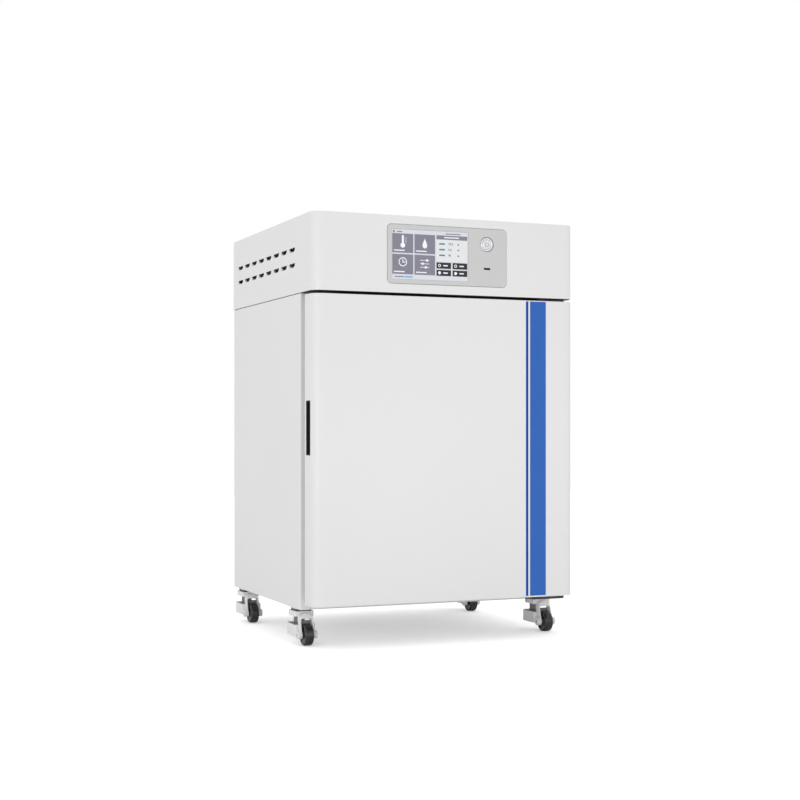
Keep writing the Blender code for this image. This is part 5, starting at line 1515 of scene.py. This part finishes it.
@dataclass
class Display:
    """The lit screen: a status line, four tiles with signs, a column of values and small tiles.

    Its layout is in shares, across from the left end and down from the top.
    """

    screen: Box = field(default_factory=lambda: Box.of("touch_screen"))
    # Thickness of the glass and of each layer over it
    glass: float = 0.003
    lift: float = 0.00012
    # Tiles, and the middle of each sign on them
    columns: tuple[Span, Span] = ((0.001, 0.273), (0.289, 0.560))
    rows: tuple[Span, Span] = ((0.087, 0.473), (0.501, 0.900))
    icons: tuple[tuple[Icon, float, float], ...] = (
        (Icon.THERMOMETER, 0.137, 0.25), (Icon.DROP, 0.4245, 0.265),
        (Icon.CLOCK, 0.137, 0.655), (Icon.SLIDERS, 0.4245, 0.675),
    )
    # Short line at the foot of a tile, from the tile's left end and up from its foot
    caption: tuple[Span, Span] = ((0.02, 0.16), (0.06, 0.038))
    small_columns: tuple[Span, Span] = ((0.579, 0.772), (0.794, 0.990))
    small_rows: tuple[Span, Span] = ((0.632, 0.757), (0.783, 0.903))
    # In a small tile: the dot's place, its radius and the hole of the upper ones, then the mark's range
    small_dot: float = 0.04
    small_radius: float = 0.0032
    small_hole: float = 0.0018
    small_mark: Span = (0.09, 0.15)
    small_mark_half: float = 0.012
    page_width: Span = (0.579, 0.990)
    page_head: Span = (0.084, 0.168)
    page: Span = (0.168, 0.612)
    page_title: tuple[Span, Span] = ((0.68, 0.88), (0.114, 0.136))
    # Each value's line: the mark before it, the number, the mark after it
    lines: tuple[float, ...] = (0.26, 0.375, 0.49)
    first_mark: tuple[Span, Span] = ((0.615, 0.69), (0.018, 0.012))
    last_mark: tuple[Span, Span] = ((0.86, 0.88), (0.016, 0.012))
    values: tuple[tuple[str, float], ...] = (("37.0", 0.275), ("5.0", 0.39), ("95", 0.505))
    value_place: float = 0.735
    value_height: float = 0.0062
    status: tuple[tuple[Span, Span], ...] = (
        ((0.03, 0.15), (0.94, 0.962)), ((0.01, 0.032), (0.03, 0.07)),
        ((0.06, 0.13), (0.04, 0.062)), ((0.70, 0.90), (0.04, 0.06)),
    )
    progress: tuple[Span, Span] = ((0.16, 0.265), (0.938, 0.964))
    # Drop: points, radius, its height as a share of the radius, and how pointed it is
    drop_points: int = 40
    drop_radius: float = 0.0075
    drop_height: float = 1.35
    drop_point: float = 1.6

    def spot(self, u: float, v: float) -> Span:
        """The x and z of a point of the display."""
        return self.screen.low[0] + u * self.screen.size[0], self.screen.high[2] - v * self.screen.size[2]

    def layer(self, level: int) -> Span:
        """Front and back of a layer over the glass."""
        front = self.screen.low[1] - level * self.lift
        return front, front + self.lift

    def patch(self, u: Span, v: Span, level: int = 1) -> Surface:
        """Rectangle on the display as a thin box, from its ranges across and down and its layer."""
        x, z = zip(self.spot(u[0], v[1]), self.spot(u[1], v[0]))
        return block(x, self.layer(level), z)

    def disc(self, u: float, v: float, radius: float, level: int, hole: float = 0.0) -> Surface:
        """Disc or ring on the display.

        Args:
            u: its middle across.
            v: its middle down.
            radius: in metres.
            level: its layer.
            hole: radius of its hole, or 0.

        Returns:
            The disc as a thin cylinder or tube.
        """
        front, back = self.layer(level)
        if not hole:
            return cylinder(radius, (front, back), self.spot(u, v), Axis.Y, steps=32)
        section = [(hole, front), (radius, front), (radius, back), (hole, back)]
        return revolved(section, self.spot(u, v), Axis.Y, steps=32, ring=True)

    def drop(self, u: float, v: float) -> Surface:
        """Drop: x = r sin t (sin t/2)^p and z = k r cos t, pointed at its top.

        Args:
            u: its middle across.
            v: its middle down.

        Returns:
            The drop as a thin plate.
        """
        turn = np.linspace(0, 1, self.drop_points, endpoint=False)[None, :] * FULL_TURN
        centre = self.spot(u, v)
        x = centre[0] + self.drop_radius * np.sin(turn) * np.sin(turn / 2) ** self.drop_point
        z = centre[1] + self.drop_radius * self.drop_height * np.cos(turn)
        y = np.array(self.layer(2))[:, None]
        return grid_surface(np.stack(np.broadcast_arrays(x, y, z), axis=-1))

    def icon(self, kind: Icon, u: float, v: float) -> Surface:
        """One plain sign, about 22 mm high.

        Args:
            kind: which sign.
            u: its middle across.
            v: its middle down.

        Returns:
            The sign's surface.
        """
        if kind is Icon.DROP:
            return self.drop(u, v)
        return gathered(
            self.patch((u + part.u[0], u + part.u[1]), (v + part.v[0], v + part.v[1]), part.level)
            if isinstance(part, Bar)
            else self.disc(u + part.u, v + part.v, part.radius, part.level, part.hole)
            for part in kind.value
        )

    def number(self, name: str, text: str, v: float) -> None:
        """Adds a plain number, from a text object made into a mesh with its place applied.

        Args:
            name: the piece's name.
            text: the number.
            v: its foot, down the display.
        """
        curve = bpy.data.curves.new(name, "FONT")
        curve.body = text
        curve.size = self.value_height
        curve.extrude = self.lift / 2
        curve.resolution_u = 3
        holder = bpy.data.objects.new(name, curve)
        bpy.context.scene.collection.objects.link(holder)
        mesh = bpy.data.meshes.new_from_object(holder.evaluated_get(bpy.context.evaluated_depsgraph_get()))
        bpy.data.objects.remove(holder)
        flat = np.empty(len(mesh.vertices) * 3)
        mesh.vertices.foreach_get("co", flat)
        across, up, out = flat.reshape(-1, 3).T
        left, foot = self.spot(self.value_place, v)
        places = np.stack([left + across, self.screen.low[1] - 2 * self.lift - out, foot + up], axis=-1)
        mesh.vertices.foreach_set("co", places.ravel())
        mesh.update()
        made = bpy.data.objects.new(name, mesh)
        bpy.context.scene.collection.objects.link(made)
        dressed(made, SCREEN_DARK, "cabinet")

    def signs(self) -> Surface:
        """Everything on the tiles: the four signs, the captions, the small tiles' dots and marks, the title.

        Returns:
            All of them as one surface.
        """
        parts = [self.icon(*place) for place in self.icons]
        left, right = self.caption[0]
        top, foot = self.caption[1]
        for u in self.columns:
            for v in self.rows:
                parts.append(self.patch((u[0] + left, u[0] + right), (v[1] - top, v[1] - foot), 2))
        for u in self.small_columns:
            for v in self.small_rows:
                middle = (v[0] + v[1]) / 2
                hole = self.small_hole if v == self.small_rows[0] else 0.0
                parts.append(self.disc(u[0] + self.small_dot, middle, self.small_radius, 2, hole))
                mark = (u[0] + self.small_mark[0], u[0] + self.small_mark[1])
                parts.append(self.patch(
                    mark, (middle - self.small_mark_half, middle + self.small_mark_half), 2,
                ))
        parts.append(self.patch(*self.page_title, 2))
        return gathered(parts)

    def marks(self) -> Surface:
        """The marks before and after each value.

        Returns:
            All of them as one surface.
        """
        return gathered(
            self.patch(u, (line - above, line + below), 2)
            for line in self.lines for u, (above, below) in (self.first_mark, self.last_mark)
        )

    def build(self) -> None:
        """Makes the glass and everything that it shows."""
        front = self.screen.low[1]
        glass = block(self.screen.span(0), (front, front + self.glass), self.screen.span(2))
        tiles = [self.patch(u, v) for u in self.columns for v in self.rows]
        tiles.append(self.patch(self.page_width, self.page_head))
        small = [self.patch(u, v) for u in self.small_columns for v in self.small_rows]
        status = [self.patch(u, v) for u, v in self.status]
        add_piece("display_glass", glass, SCREEN_GROUND, "cabinet", ["touch_screen"])
        for name, surface, finish in (
            ("tiles", gathered(tiles), SCREEN_TILE), ("small_tiles", gathered(small), SCREEN_DARK),
            ("page", self.patch(self.page_width, self.page), SCREEN_PAGE),
            ("signs", self.signs(), SCREEN_LIGHT),
            ("labels", self.marks(), SCREEN_INK), ("status", gathered(status), SCREEN_TILE),
            ("progress", self.patch(*self.progress), SCREEN_BLUE),
        ):
            add_piece(f"display_{name}", surface, finish, "cabinet")
        for index, (text, v) in enumerate(self.values):
            self.number(f"display_value_{index + 1}", text, v)


class CasterPlace(Enum):
    """The corners that the casters stand at, as the frame names them."""

    FRONT_LEFT = "front_left"
    FRONT_RIGHT = "front_right"
    REAR_LEFT = "rear_left"
    REAR_RIGHT = "rear_right"


@dataclass
class Caster:
    """One levelling caster, drawn about its swivel axis and moved to its place.

    Args:
        place: the corner that it stands at.
    """

    place: CasterPlace
    shift: Array = field(init=False)
    edge: float = 0.0009
    # How far joined pieces run into each other, how far cutters run past, and the play of turning parts
    overlap: float = 0.001
    overcut: float = 0.004
    running: float = 0.00015
    # Wheel: half widths, slope and dish of its sides, and the rings on them as shares of the radius
    radius: float = 0.022
    half: float = 0.0095
    tread_half: float = 0.006
    slope: float = 0.0012
    shoulder_drop: float = 0.0006
    dish: float = 0.0018
    shoulder_share: float = 0.84
    dish_shares: Span = (0.72, 0.36)
    wheel_round: float = 0.0014
    axle: float = 0.003
    trail: float = 0.036
    clearance: float = 0.00225
    # Arch: its legs, how far it leans back from the axle to the crown, and its corners
    leg: float = 0.0032
    leg_half_depth: float = 0.00825
    crown_half_depth: float = 0.007
    lean: float = 0.012
    arch_low: float = 0.0545
    arch_top: float = 0.065
    arch_radius: float = 0.009
    arch_ease: float = 1.6
    arch_edge_rows: int = 4
    # Bosses at the ends of the axle: their socket's mouth and floor, and the axle's head in it
    boss_radius: float = 0.0082
    boss_half: float = 0.0215
    boss_recess: float = 0.0012
    socket_radii: Span = (0.0036, 0.0034)
    boss_rounds: tuple[float, ...] = (0, 0, 0.0014, 0.0004, 0.0003, 0)
    head_radius: float = 0.0028
    head_depth: float = 0.0004
    head_edge: float = 0.0002
    # Crown with the socket over the pivot
    crown: Span = (0.058, 0.0685)
    crown_half: Span = (0.021, 0.022)
    crown_corner: float = 0.005
    socket_floor: float = 0.002
    pivot: float = 0.010
    # Plate and race
    plate_sheet: float = 0.0022
    plate_depth: float = 0.0059
    plate_edge: float = 0.0003
    race_lap: float = 0.0002
    # Neck, with its flare at the foot and at the head
    neck_radius: float = 0.0115
    neck_y: float = 0.012
    neck_flares: Span = (0.0016, 0.0014)
    neck_rounds: tuple[float, ...] = (0, 0.0006, 0.0012, 0.0012, 0.0006, 0)
    # Housing, its cap of painted shade over the top, and the web that ties the legs
    housing: Span = (0.018, 0.0425)
    housing_half: Span = (0.0225, 0.027)
    housing_corner: float = 0.004
    cap: float = 0.0009
    web: Span = (-0.0245, -0.0195)
    web_top: float = 0.0495
    # Foot: pad, play round it in the housing, stem and play over the stem
    pad_height: float = 0.0075
    pad_edge: float = 0.0012
    pad_play: float = 0.0003
    stem: float = 0.005
    stem_play: float = 0.0004

    def __post_init__(self) -> None:
        """Finds the swivel axis from the plate's box."""
        middle = self.node_box("plate").middle
        self.shift = np.array([middle[0], middle[1], 0.0])

    @property
    def wheel_line(self) -> Span:
        """The wheel's axis, as y and z."""
        return -self.trail, self.radius

    @property
    def inside(self) -> float:
        """Half of the room between the legs."""
        return self.half + self.clearance

    def node_box(self, kind: str) -> Box:
        """The box of one of this caster's nodes."""
        return Box.of(f"caster_{kind}_{self.place.value}")

    def add(
        self, kind: str, surface: Surface, finish: Finish, body: str, stands_for: str = "",
        cutters: Sequence[Surface] = (), sharp: float = SHARP,
    ) -> None:
        """Adds one piece of this caster at its place.

        Args:
            kind: what the piece is.
            surface: its surface about the swivel axis.
            finish: its finish.
            body: its body's name without the place, or the cabinet.
            stands_for: the node that it replaces, without the place.
            cutters: surfaces cut from it.
            sharp: angle in degrees past which an edge stays sharp.
        """
        place = self.place.value
        nodes = [f"{stands_for}_{place}"] if stands_for else []
        carrier = body if body == "cabinet" else f"{body}_{place}"
        moved = [cutter.moved(self.shift) for cutter in cutters]
        add_piece(f"caster_{place}_{kind}", surface.moved(self.shift), finish, carrier, nodes, moved, sharp)

    def wheel(self) -> None:
        """Turned wheel: flat tread, round shoulders, dished sides and a hub."""
        rim, hub = (self.radius * share for share in self.dish_shares)
        floor = self.half - self.dish
        side = [
            (self.radius, self.tread_half), (self.radius - self.slope, self.half - self.shoulder_drop),
            (self.radius * self.shoulder_share, self.half), (rim, self.half), (rim - self.slope, floor),
            (hub + self.slope, floor), (hub, self.half), (self.axle + self.running, self.half),
        ]
        corners = [(radius, -along) for radius, along in side[::-1]] + side
        profile = rounded_profile(corners, self.wheel_round, closed=True)
        surface = revolved(profile, self.wheel_line, Axis.X, steps=64, ring=True)
        self.add("wheel", surface, WHEEL_NYLON, "wheel", "caster_wheel", sharp=50)

    def arch(self) -> Surface:
        """The inverted U over the wheel, with legs that lean back from the axle to the crown.

        Each point (x, z) of the U's outline runs from front to back: y = c(z) + s h(z), where the middle
        c and the half depth h change evenly from the axle's height to the top and s runs from -1 to 1. Near
        both ends of s the outline is set in along its normals by a quarter-round.

        Returns:
            The arch's surface.
        """
        span = self.inside + self.leg
        corner = self.arch_radius - self.leg
        ease = self.arch_radius * self.arch_ease
        outer = rounded_profile(
            [(-span, self.radius), (-span, self.arch_top), (span, self.arch_top), (span, self.radius)],
            (0, ease, ease, 0), steps=10,
        )
        inner = rounded_profile(
            [(self.inside, self.radius), (self.inside, self.arch_low), (-self.inside, self.arch_low),
             (-self.inside, self.radius)],
            (0, corner, corner, 0), steps=6,
        )
        loop = np.vstack([outer, inner])
        step = np.roll(loop, -1, axis=0) - np.roll(loop, 1, axis=0)
        normal = np.stack([-step[:, 1], step[:, 0]], axis=-1)
        normal /= np.linalg.norm(normal, axis=1, keepdims=True)
        turn = np.linspace(0, QUARTER_TURN, self.arch_edge_rows)
        inset = self.edge * np.concatenate([1 - np.sin(turn), 1 - np.sin(turn[::-1])])[:, None]
        rise = np.clip((loop[:, 1] - self.radius) / (self.arch_top - self.radius), 0, 1)[None, :]
        middle = -self.trail + self.lean * rise
        reach = self.leg_half_depth + (self.crown_half_depth - self.leg_half_depth) * rise
        back = self.edge * np.concatenate([1 - np.cos(turn), 1 - np.cos(turn[::-1])])[:, None]
        sign = np.repeat([-1.0, 1.0], len(turn))[:, None]
        x = loop[:, 0][None, :] - inset * normal[:, 0][None, :]
        z = loop[:, 1][None, :] - inset * normal[:, 1][None, :]
        return grid_surface(np.stack([x, middle + sign * (reach - back), z], axis=-1))

    def bosses(self) -> None:
        """Axle with a boss and a socket head at each end."""
        mouth, floor = self.socket_radii
        for side in Side:
            sign, name = side.value, side.name.lower()
            inner, outer = sign * self.inside, sign * self.boss_half
            recess = outer - sign * self.boss_recess
            profile = rounded_profile(
                [(0, inner), (self.boss_radius, inner), (self.boss_radius, outer),
                 (mouth, outer), (floor, recess), (0, recess)],
                self.boss_rounds,
            )
            self.add(f"boss_{name}", revolved(profile, self.wheel_line, Axis.X), CASTER_COAT, "swivel")
            levels = sorted((recess, outer - sign * self.head_depth))
            plan = Outline.circle(self.wheel_line, self.head_radius, steps=24)
            self.add(
                f"axle_head_{name}", rounded_solid(plan, *levels, Axis.X, 0, self.head_edge), ZINC, "swivel",
            )
        reach = self.inside + self.leg / 2
        axle = cylinder(self.axle, (-reach, reach), self.wheel_line, Axis.X, steps=32)
        self.add("axle", axle, ZINC, "swivel")

    def pad(self, grow: float, low: float, high: float, edge: float = 0.0) -> Surface:
        """The foot's pad, or the room for it.

        Args:
            grow: clearance on every side.
            low: its underside.
            high: its top.
            edge: radius of its lower edge.

        Returns:
            The pad's surface.
        """
        box = self.node_box("foot")
        plan = Outline.rectangle(
            (box.low[0] - self.shift[0] - grow, box.high[0] - self.shift[0] + grow),
            (box.low[1] - self.shift[1] - grow, box.high[1] - self.shift[1] + grow),
            self.housing_corner, steps=6,
        )
        return rounded_solid(plan, low, high, Axis.Z, edge, 0)

    def swivel_body(self) -> None:
        """Arch, housing, web, neck and crown, which turn under the plate."""
        foot = self.node_box("foot")
        low, high = self.housing
        room = self.radius + self.clearance
        wheel_room = cylinder(room, (-self.inside, self.inside), self.wheel_line, Axis.X, steps=64)
        stem_top = float(foot.high[2]) + self.stem_play
        stem_room = cylinder(self.stem + self.running, (low, stem_top), (0, self.neck_y), Axis.Z, steps=32)
        pad_top = float(foot.low[2]) + self.pad_height
        pad_room = self.pad(self.pad_play, low - self.overcut, pad_top + self.pad_play)
        self.add("arch", self.arch(), CASTER_COAT, "swivel", "caster_fork", sharp=50)
        plan = Outline.centred(self.housing_half, self.housing_corner)
        housing = rounded_solid(plan, low, high - self.cap, Axis.Z, self.edge, self.edge)
        self.add("housing", housing, CASTER_COAT, "swivel", "", [wheel_room, pad_room, stem_room], sharp=40)
        # The cap is painted shade: a dark grey sheet where the housing's top lies in shadow under the cabinet
        plan = Outline.centred([half - self.edge for half in self.housing_half], self.housing_corner)
        cap = rounded_solid(plan, high - 2 * self.cap, high, Axis.Z, 0, self.cap / 2)
        self.add("housing_top_painted_shade", cap, CASTER_IRON_AND_SHADE, "swivel", "", [wheel_room, stem_room], sharp=40)
        reach = self.inside + self.leg / 2
        web = block((-reach, reach), self.web, (high - self.overlap, self.web_top), self.edge)
        self.add("web", web, CASTER_IRON_AND_SHADE, "swivel", "", [wheel_room], sharp=40)
        self.add("neck", self.neck(), CASTER_IRON_AND_SHADE, "swivel", "", [stem_room])
        crown_low, crown_high = self.crown
        socket = cylinder(
            self.pivot + self.running, (crown_low + self.socket_floor, crown_high + self.overcut),
            (0, 0), Axis.Z,
        )
        plan = Outline.centred(self.crown_half, self.crown_corner)
        crown = rounded_solid(plan, crown_low, crown_high, Axis.Z, self.edge, self.edge)
        self.add("crown", crown, CASTER_COAT, "swivel", "", [socket], sharp=40)

    def neck(self) -> Surface:
        """Round neck between housing and crown, flared at both ends.

        Returns:
            The neck's surface.
        """
        low, high = self.housing[1] - self.overlap, self.crown[0] + self.overlap
        foot, head = self.neck_flares
        profile = rounded_profile(
            [(0, low), (self.neck_radius + foot, low), (self.neck_radius, self.housing[1] + foot),
             (self.neck_radius, self.crown[0] - head), (self.neck_radius + head, high), (0, high)],
            self.neck_rounds,
        )
        return revolved(profile, (0, self.neck_y), Axis.Z)

    def foot(self) -> None:
        """Levelling foot: the pad, drawn into the housing, and its stem."""
        low, high = self.node_box("foot").span(2)
        top = low + self.pad_height
        self.add("foot", self.pad(0, low, top, self.pad_edge), CASTER_COAT, "foot", "caster_foot")
        stem = cylinder(self.stem, (top - self.overlap, high), (0, self.neck_y), Axis.Z, steps=32)
        self.add("foot_stem", stem, ZINC, "foot")

    def plate(self) -> None:
        """Mounting plate with its race, and the pivot that the swivel body turns on."""
        box = self.node_box("plate")
        foot, high = box.span(2)
        low, sheet_low = high - self.plate_depth, high - self.plate_sheet
        half = box.size[:2] / 2
        plan = Outline.centred(half, self.crown_corner)
        sheet = rounded_solid(plan, sheet_low, high, Axis.Z, self.plate_edge, self.plate_edge)
        self.add("plate", sheet, ZINC, "cabinet", "caster_plate")
        # The race is dark grey as painted shade, for the shadowed gap between the crown and the cabinet's
        # underside
        plan = Outline.centred(half - self.edge, self.crown_corner)
        race = rounded_solid(plan, low, sheet_low + self.race_lap, Axis.Z, self.plate_edge, 0)
        self.add("race", race, DARK_COAT_AND_SHADE, "cabinet")
        self.add("pivot", cylinder(self.pivot, (foot, low + self.overlap), (0, 0), Axis.Z), ZINC, "cabinet")

    def build(self) -> None:
        """Makes every piece of the caster."""
        self.wheel()
        self.swivel_body()
        self.bosses()
        self.foot()
        self.plate()


@dataclass
class CarriedOver:
    """Nodes whose own shape is right, and their finishes."""

    finishes: dict[str, Finish] = field(default_factory=lambda: {
        # cover_deck takes the dark coat as painted shade, so that the gap between cover and door reads dark
        "base_pan": WHITE_COAT, "rear_panel": WHITE_COAT, "cover_deck": DARK_COAT_AND_SHADE, "insulation": FOAM,
        "inner_chamber": CHAMBER_STEEL, "front_frame": FRAME_ABS_SHADED, "chamber_seal": SEAL_SILICONE,
        "shelf_rail_left": CHAMBER_STEEL, "shelf_rail_right": CHAMBER_STEEL, "fan_cover": SHELF_STEEL,
        "co2_sensor": LINER_ABS, "hinge_lower": DARK_COAT_AND_SHADE, "hinge_upper": DARK_COAT_AND_SHADE,
        "inner_hinge_strip": ZINC,
        "latch_keeper": ZINC, "usb_port": BLACK_ABS, "control_board": BOARD, "power_supply": ZINC,
        "fan_motor": ZINC, "co2_valve": NICKEL, "gas_tube": CHAMBER_STEEL, "gas_inlet": NICKEL,
        "power_inlet": BLACK_ABS, "door_liner": LINER_ABS, "door_foam": FOAM, "inner_door_glass": PANE,
        "inner_door_stile": ZINC, "inner_door_latch": ZINC, "shelf_1": SHELF_STEEL, "shelf_2": SHELF_STEEL,
        "shelf_3": SHELF_STEEL, "water_tray": SHELF_STEEL, "fan_wheel": BLACK_ABS,
    })

    def build(self) -> None:
        """Gives each node its finish."""
        for node, finish in self.finishes.items():
            carried_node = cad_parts[node]
            carried_node.data.materials.clear()
            carried_node.data.materials.append(finish.material())
            LOG.info("%s keeps its shape", node)


@dataclass(frozen=True)
class Lamp:
    """Soft square lamp that the camera doesn't see.

    Args:
        name: the lamp's name.
        place: where it hangs.
        target: the point that it looks at.
        size: its edge length.
        power: in watts.
    """

    name: str
    place: Point
    target: Point
    size: float
    power: float

    def hang(self) -> None:
        """Adds the lamp, tilted and turned so that it faces its target."""
        data = bpy.data.lights.new(self.name, "AREA")
        data.size = self.size
        data.energy = self.power
        lamp = bpy.data.objects.new(self.name, data)
        lamp.location = self.place
        lamp.visible_camera = False
        aim = np.asarray(self.target) - np.asarray(self.place)
        flat = math.hypot(aim[0], aim[1])
        lamp.rotation_euler = (math.atan2(flat, -aim[2]), 0.0, math.atan2(-aim[0], aim[1]))
        bpy.context.scene.collection.objects.link(lamp)


@dataclass
class Studio:
    """Pale floor, even light and the camera of the photograph."""

    floor_size: float = 12.0
    floor_glow: float = 0.35
    world_strength: float = 0.9
    # One lamp for the front and the left side, and a weak one near the floor for the casters
    lamps: tuple[Lamp, ...] = (
        Lamp("key_lamp", (-3.25, -4.13, 0.4), (-0.1, -0.25, 0.4), 1.2, 47.0),
        Lamp("low_lamp", (0.45, -1.7, 0.1), (0.05, -0.29, 0.2), 1.0, 2.4),
    )

    def floor(self) -> None:
        """Large white floor that keeps the object's shadow; a glow for the camera alone makes it paler."""
        half = self.floor_size / 2
        points = [(-half, -half, 0.0), (half, -half, 0.0), (half, half, 0.0), (-half, half, 0.0)]
        mesh = bpy.data.meshes.new("studio_floor")
        mesh.from_pydata(points, [], [[0, 1, 2, 3]])
        made = bpy.data.objects.new("studio_floor", mesh)
        bpy.context.scene.collection.objects.link(made)
        material = bpy.data.materials.new("studio_white")
        material.use_nodes = True
        tree = material.node_tree
        shader = tree.nodes["Principled BSDF"]
        for key in ("Base Color", "Emission Color"):
            shader.inputs[key].default_value = linear(WHITE)
        shader.inputs["Roughness"].default_value = 1.0
        shader.inputs["Specular IOR Level"].default_value = 0.0
        path = add_node(tree, "ShaderNodeLightPath")
        glow = add_node(
            tree, "ShaderNodeMapRange", {"To Max": self.floor_glow}, {"Value": path.outputs["Is Camera Ray"]},
        )
        tree.links.new(glow.outputs["Result"], shader.inputs["Emission Strength"])
        mesh.materials.append(material)

    def world(self) -> None:
        """Even white surroundings: plain white to camera, gloss and glass, lighting strength to the rest."""
        world = bpy.data.worlds.new("studio_surroundings")
        bpy.context.scene.world = world
        world.use_nodes = True
        tree = world.node_tree
        tree.nodes.clear()
        path = add_node(tree, "ShaderNodeLightPath").outputs
        either = {"operation": "MAXIMUM"}
        seen = add_node(tree, "ShaderNodeMath", either, {0: path["Is Camera Ray"], 1: path["Is Glossy Ray"]})
        shown = add_node(tree, "ShaderNodeMath", either, {0: seen.outputs[0], 1: path["Is Transmission Ray"]})
        light, plain = (
            add_node(tree, "ShaderNodeBackground", {"Color": linear(WHITE), "Strength": strength})
            for strength in (self.world_strength, 1.0)
        )
        mix = add_node(
            tree, "ShaderNodeMixShader",
            links={"Fac": shown.outputs[0], 1: light.outputs[0], 2: plain.outputs[0]},
        )
        add_node(tree, "ShaderNodeOutputWorld", links={"Surface": mix.outputs[0]})

    def camera(self) -> None:
        """The photograph's viewing point: level, turned to the right of the door's square view."""
        data = bpy.data.cameras.new("photo_view")
        data.lens = CAMERA_LENS
        data.shift_y = CAMERA_SHIFT_Y
        camera = bpy.data.objects.new("photo_view", data)
        camera.location = CAMERA_PLACE
        camera.rotation_euler = (math.radians(90), 0.0, -CAMERA_YAW)
        bpy.context.scene.collection.objects.link(camera)
        bpy.context.scene.camera = camera

    def build(self) -> None:
        """Sets the stage."""
        bpy.context.scene.view_settings.view_transform = "Standard"
        self.floor()
        self.world()
        for lamp in self.lamps:
            lamp.hang()
        self.camera()


def main() -> None:
    """Builds the looks in order."""
    logging.basicConfig(level=logging.INFO, format="%(name)s: %(message)s")
    for assembly in (Studio, CarriedOver, CabinetBody, Cover, Door, PanelRim, PowerButton, Display):
        assembly().build()
    for place in CasterPlace:
        Caster(place).build()


if __name__ == "__main__":
    main()
